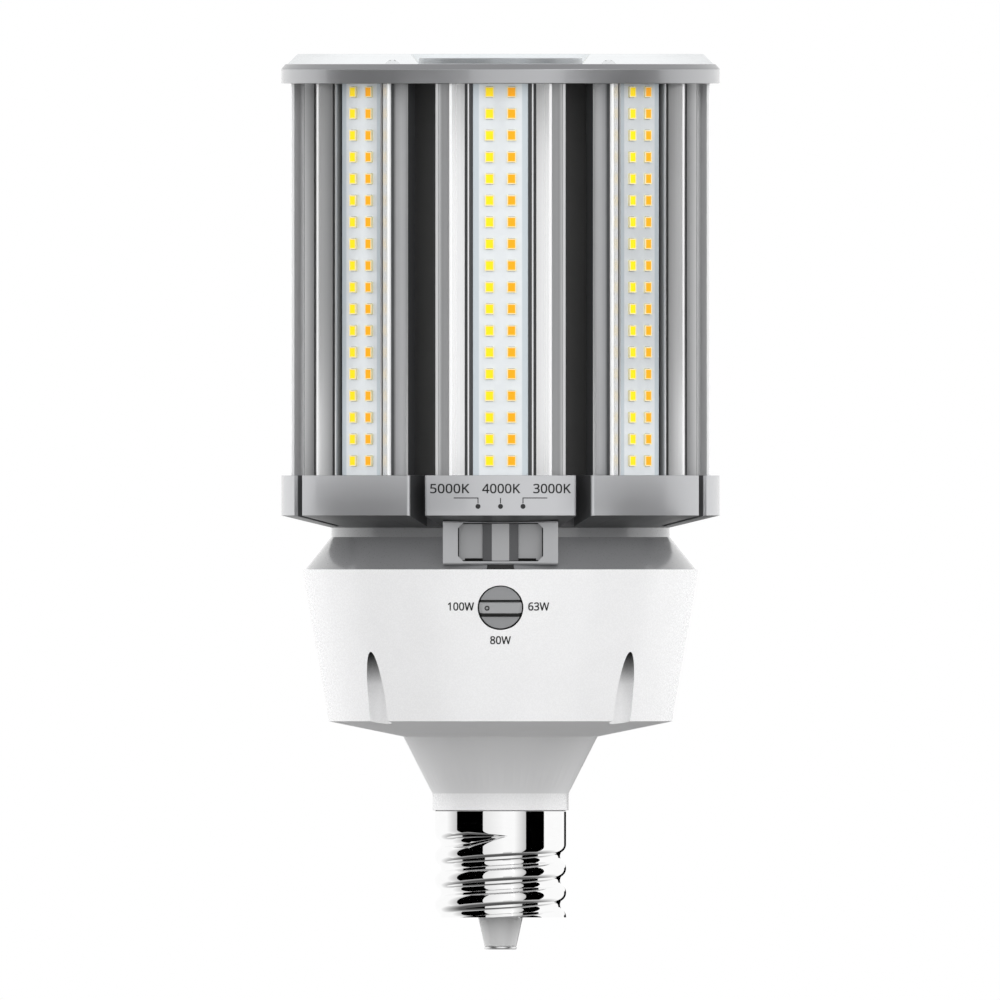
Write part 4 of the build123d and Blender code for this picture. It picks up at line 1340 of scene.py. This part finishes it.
    def card(self, material, first, last, foot, top, distance, glow=(0, 0)):
        """A card that only mirrors see, standing round the lamp between two directions."""
        nothing()
        bpy.ops.mesh.primitive_plane_add(size=1)
        card = settle("dark_card")
        with editing(card):
            bpy.ops.mesh.subdivide(number_cuts=self.CARD_CUTS)
        store(card, "glow", lambda place: glow[0] + (place.x + 0.5) * (glow[1] - glow[0]))
        for vertex in card.data.vertices:
            turn = radians(first + (vertex.co.x + 0.5) * (last - first))
            height = foot + (vertex.co.y + 0.5) * (top - foot)
            vertex.co = (distance * sin(turn), -distance * cos(turn), height)
        card.data.materials.append(material)
        for rays in ("camera", "diffuse", "transmission", "shadow"):
            setattr(card, f"visible_{rays}", False)


OPERATORS = (
    LAMP_OT_screw_base,
    LAMP_OT_driver_housing,
    LAMP_OT_selectors,
    LAMP_OT_switch_collar,
    LAMP_OT_castings,
    LAMP_OT_heat_sinks,
    LAMP_OT_led_boards,
    LAMP_OT_led_packages,
    LAMP_OT_top_lens,
    LAMP_OT_selector_marks,
    LAMP_OT_inner_parts,
    LAMP_OT_studio,
)


class LAMP_PT_pieces(bpy.types.Panel):
    """Lists the lamp's pieces"""

    bl_idname = "LAMP_PT_pieces"
    bl_label = "LED replacement bulb"
    bl_space_type = "VIEW_3D"
    bl_region_type = "UI"
    bl_category = "Lamp"

    def draw(self, context):
        for operator in OPERATORS:
            self.layout.operator(operator.bl_idname)
        for group in (context.scene.lamp_colours, context.scene.lamp_sizes, context.scene.lamp_stage):
            for name in group.__annotations__:
                self.layout.prop(group, name)


CLASSES = (LampColours, LampSizes, LampStage, *OPERATORS, LAMP_PT_pieces)


def register():
    for cls in CLASSES:
        bpy.utils.register_class(cls)
    bpy.types.Scene.lamp_colours = PointerProperty(type=LampColours)
    bpy.types.Scene.lamp_sizes = PointerProperty(type=LampSizes)
    bpy.types.Scene.lamp_stage = PointerProperty(type=LampStage)


def unregister():
    del bpy.types.Scene.lamp_stage
    del bpy.types.Scene.lamp_sizes
    del bpy.types.Scene.lamp_colours
    for cls in reversed(CLASSES):
        bpy.utils.unregister_class(cls)


def main():
    register()
    for operator in OPERATORS:
        group, name = operator.bl_idname.split(".")
        getattr(getattr(bpy.ops, group), name)()


if __name__ == "__main__":
    main()
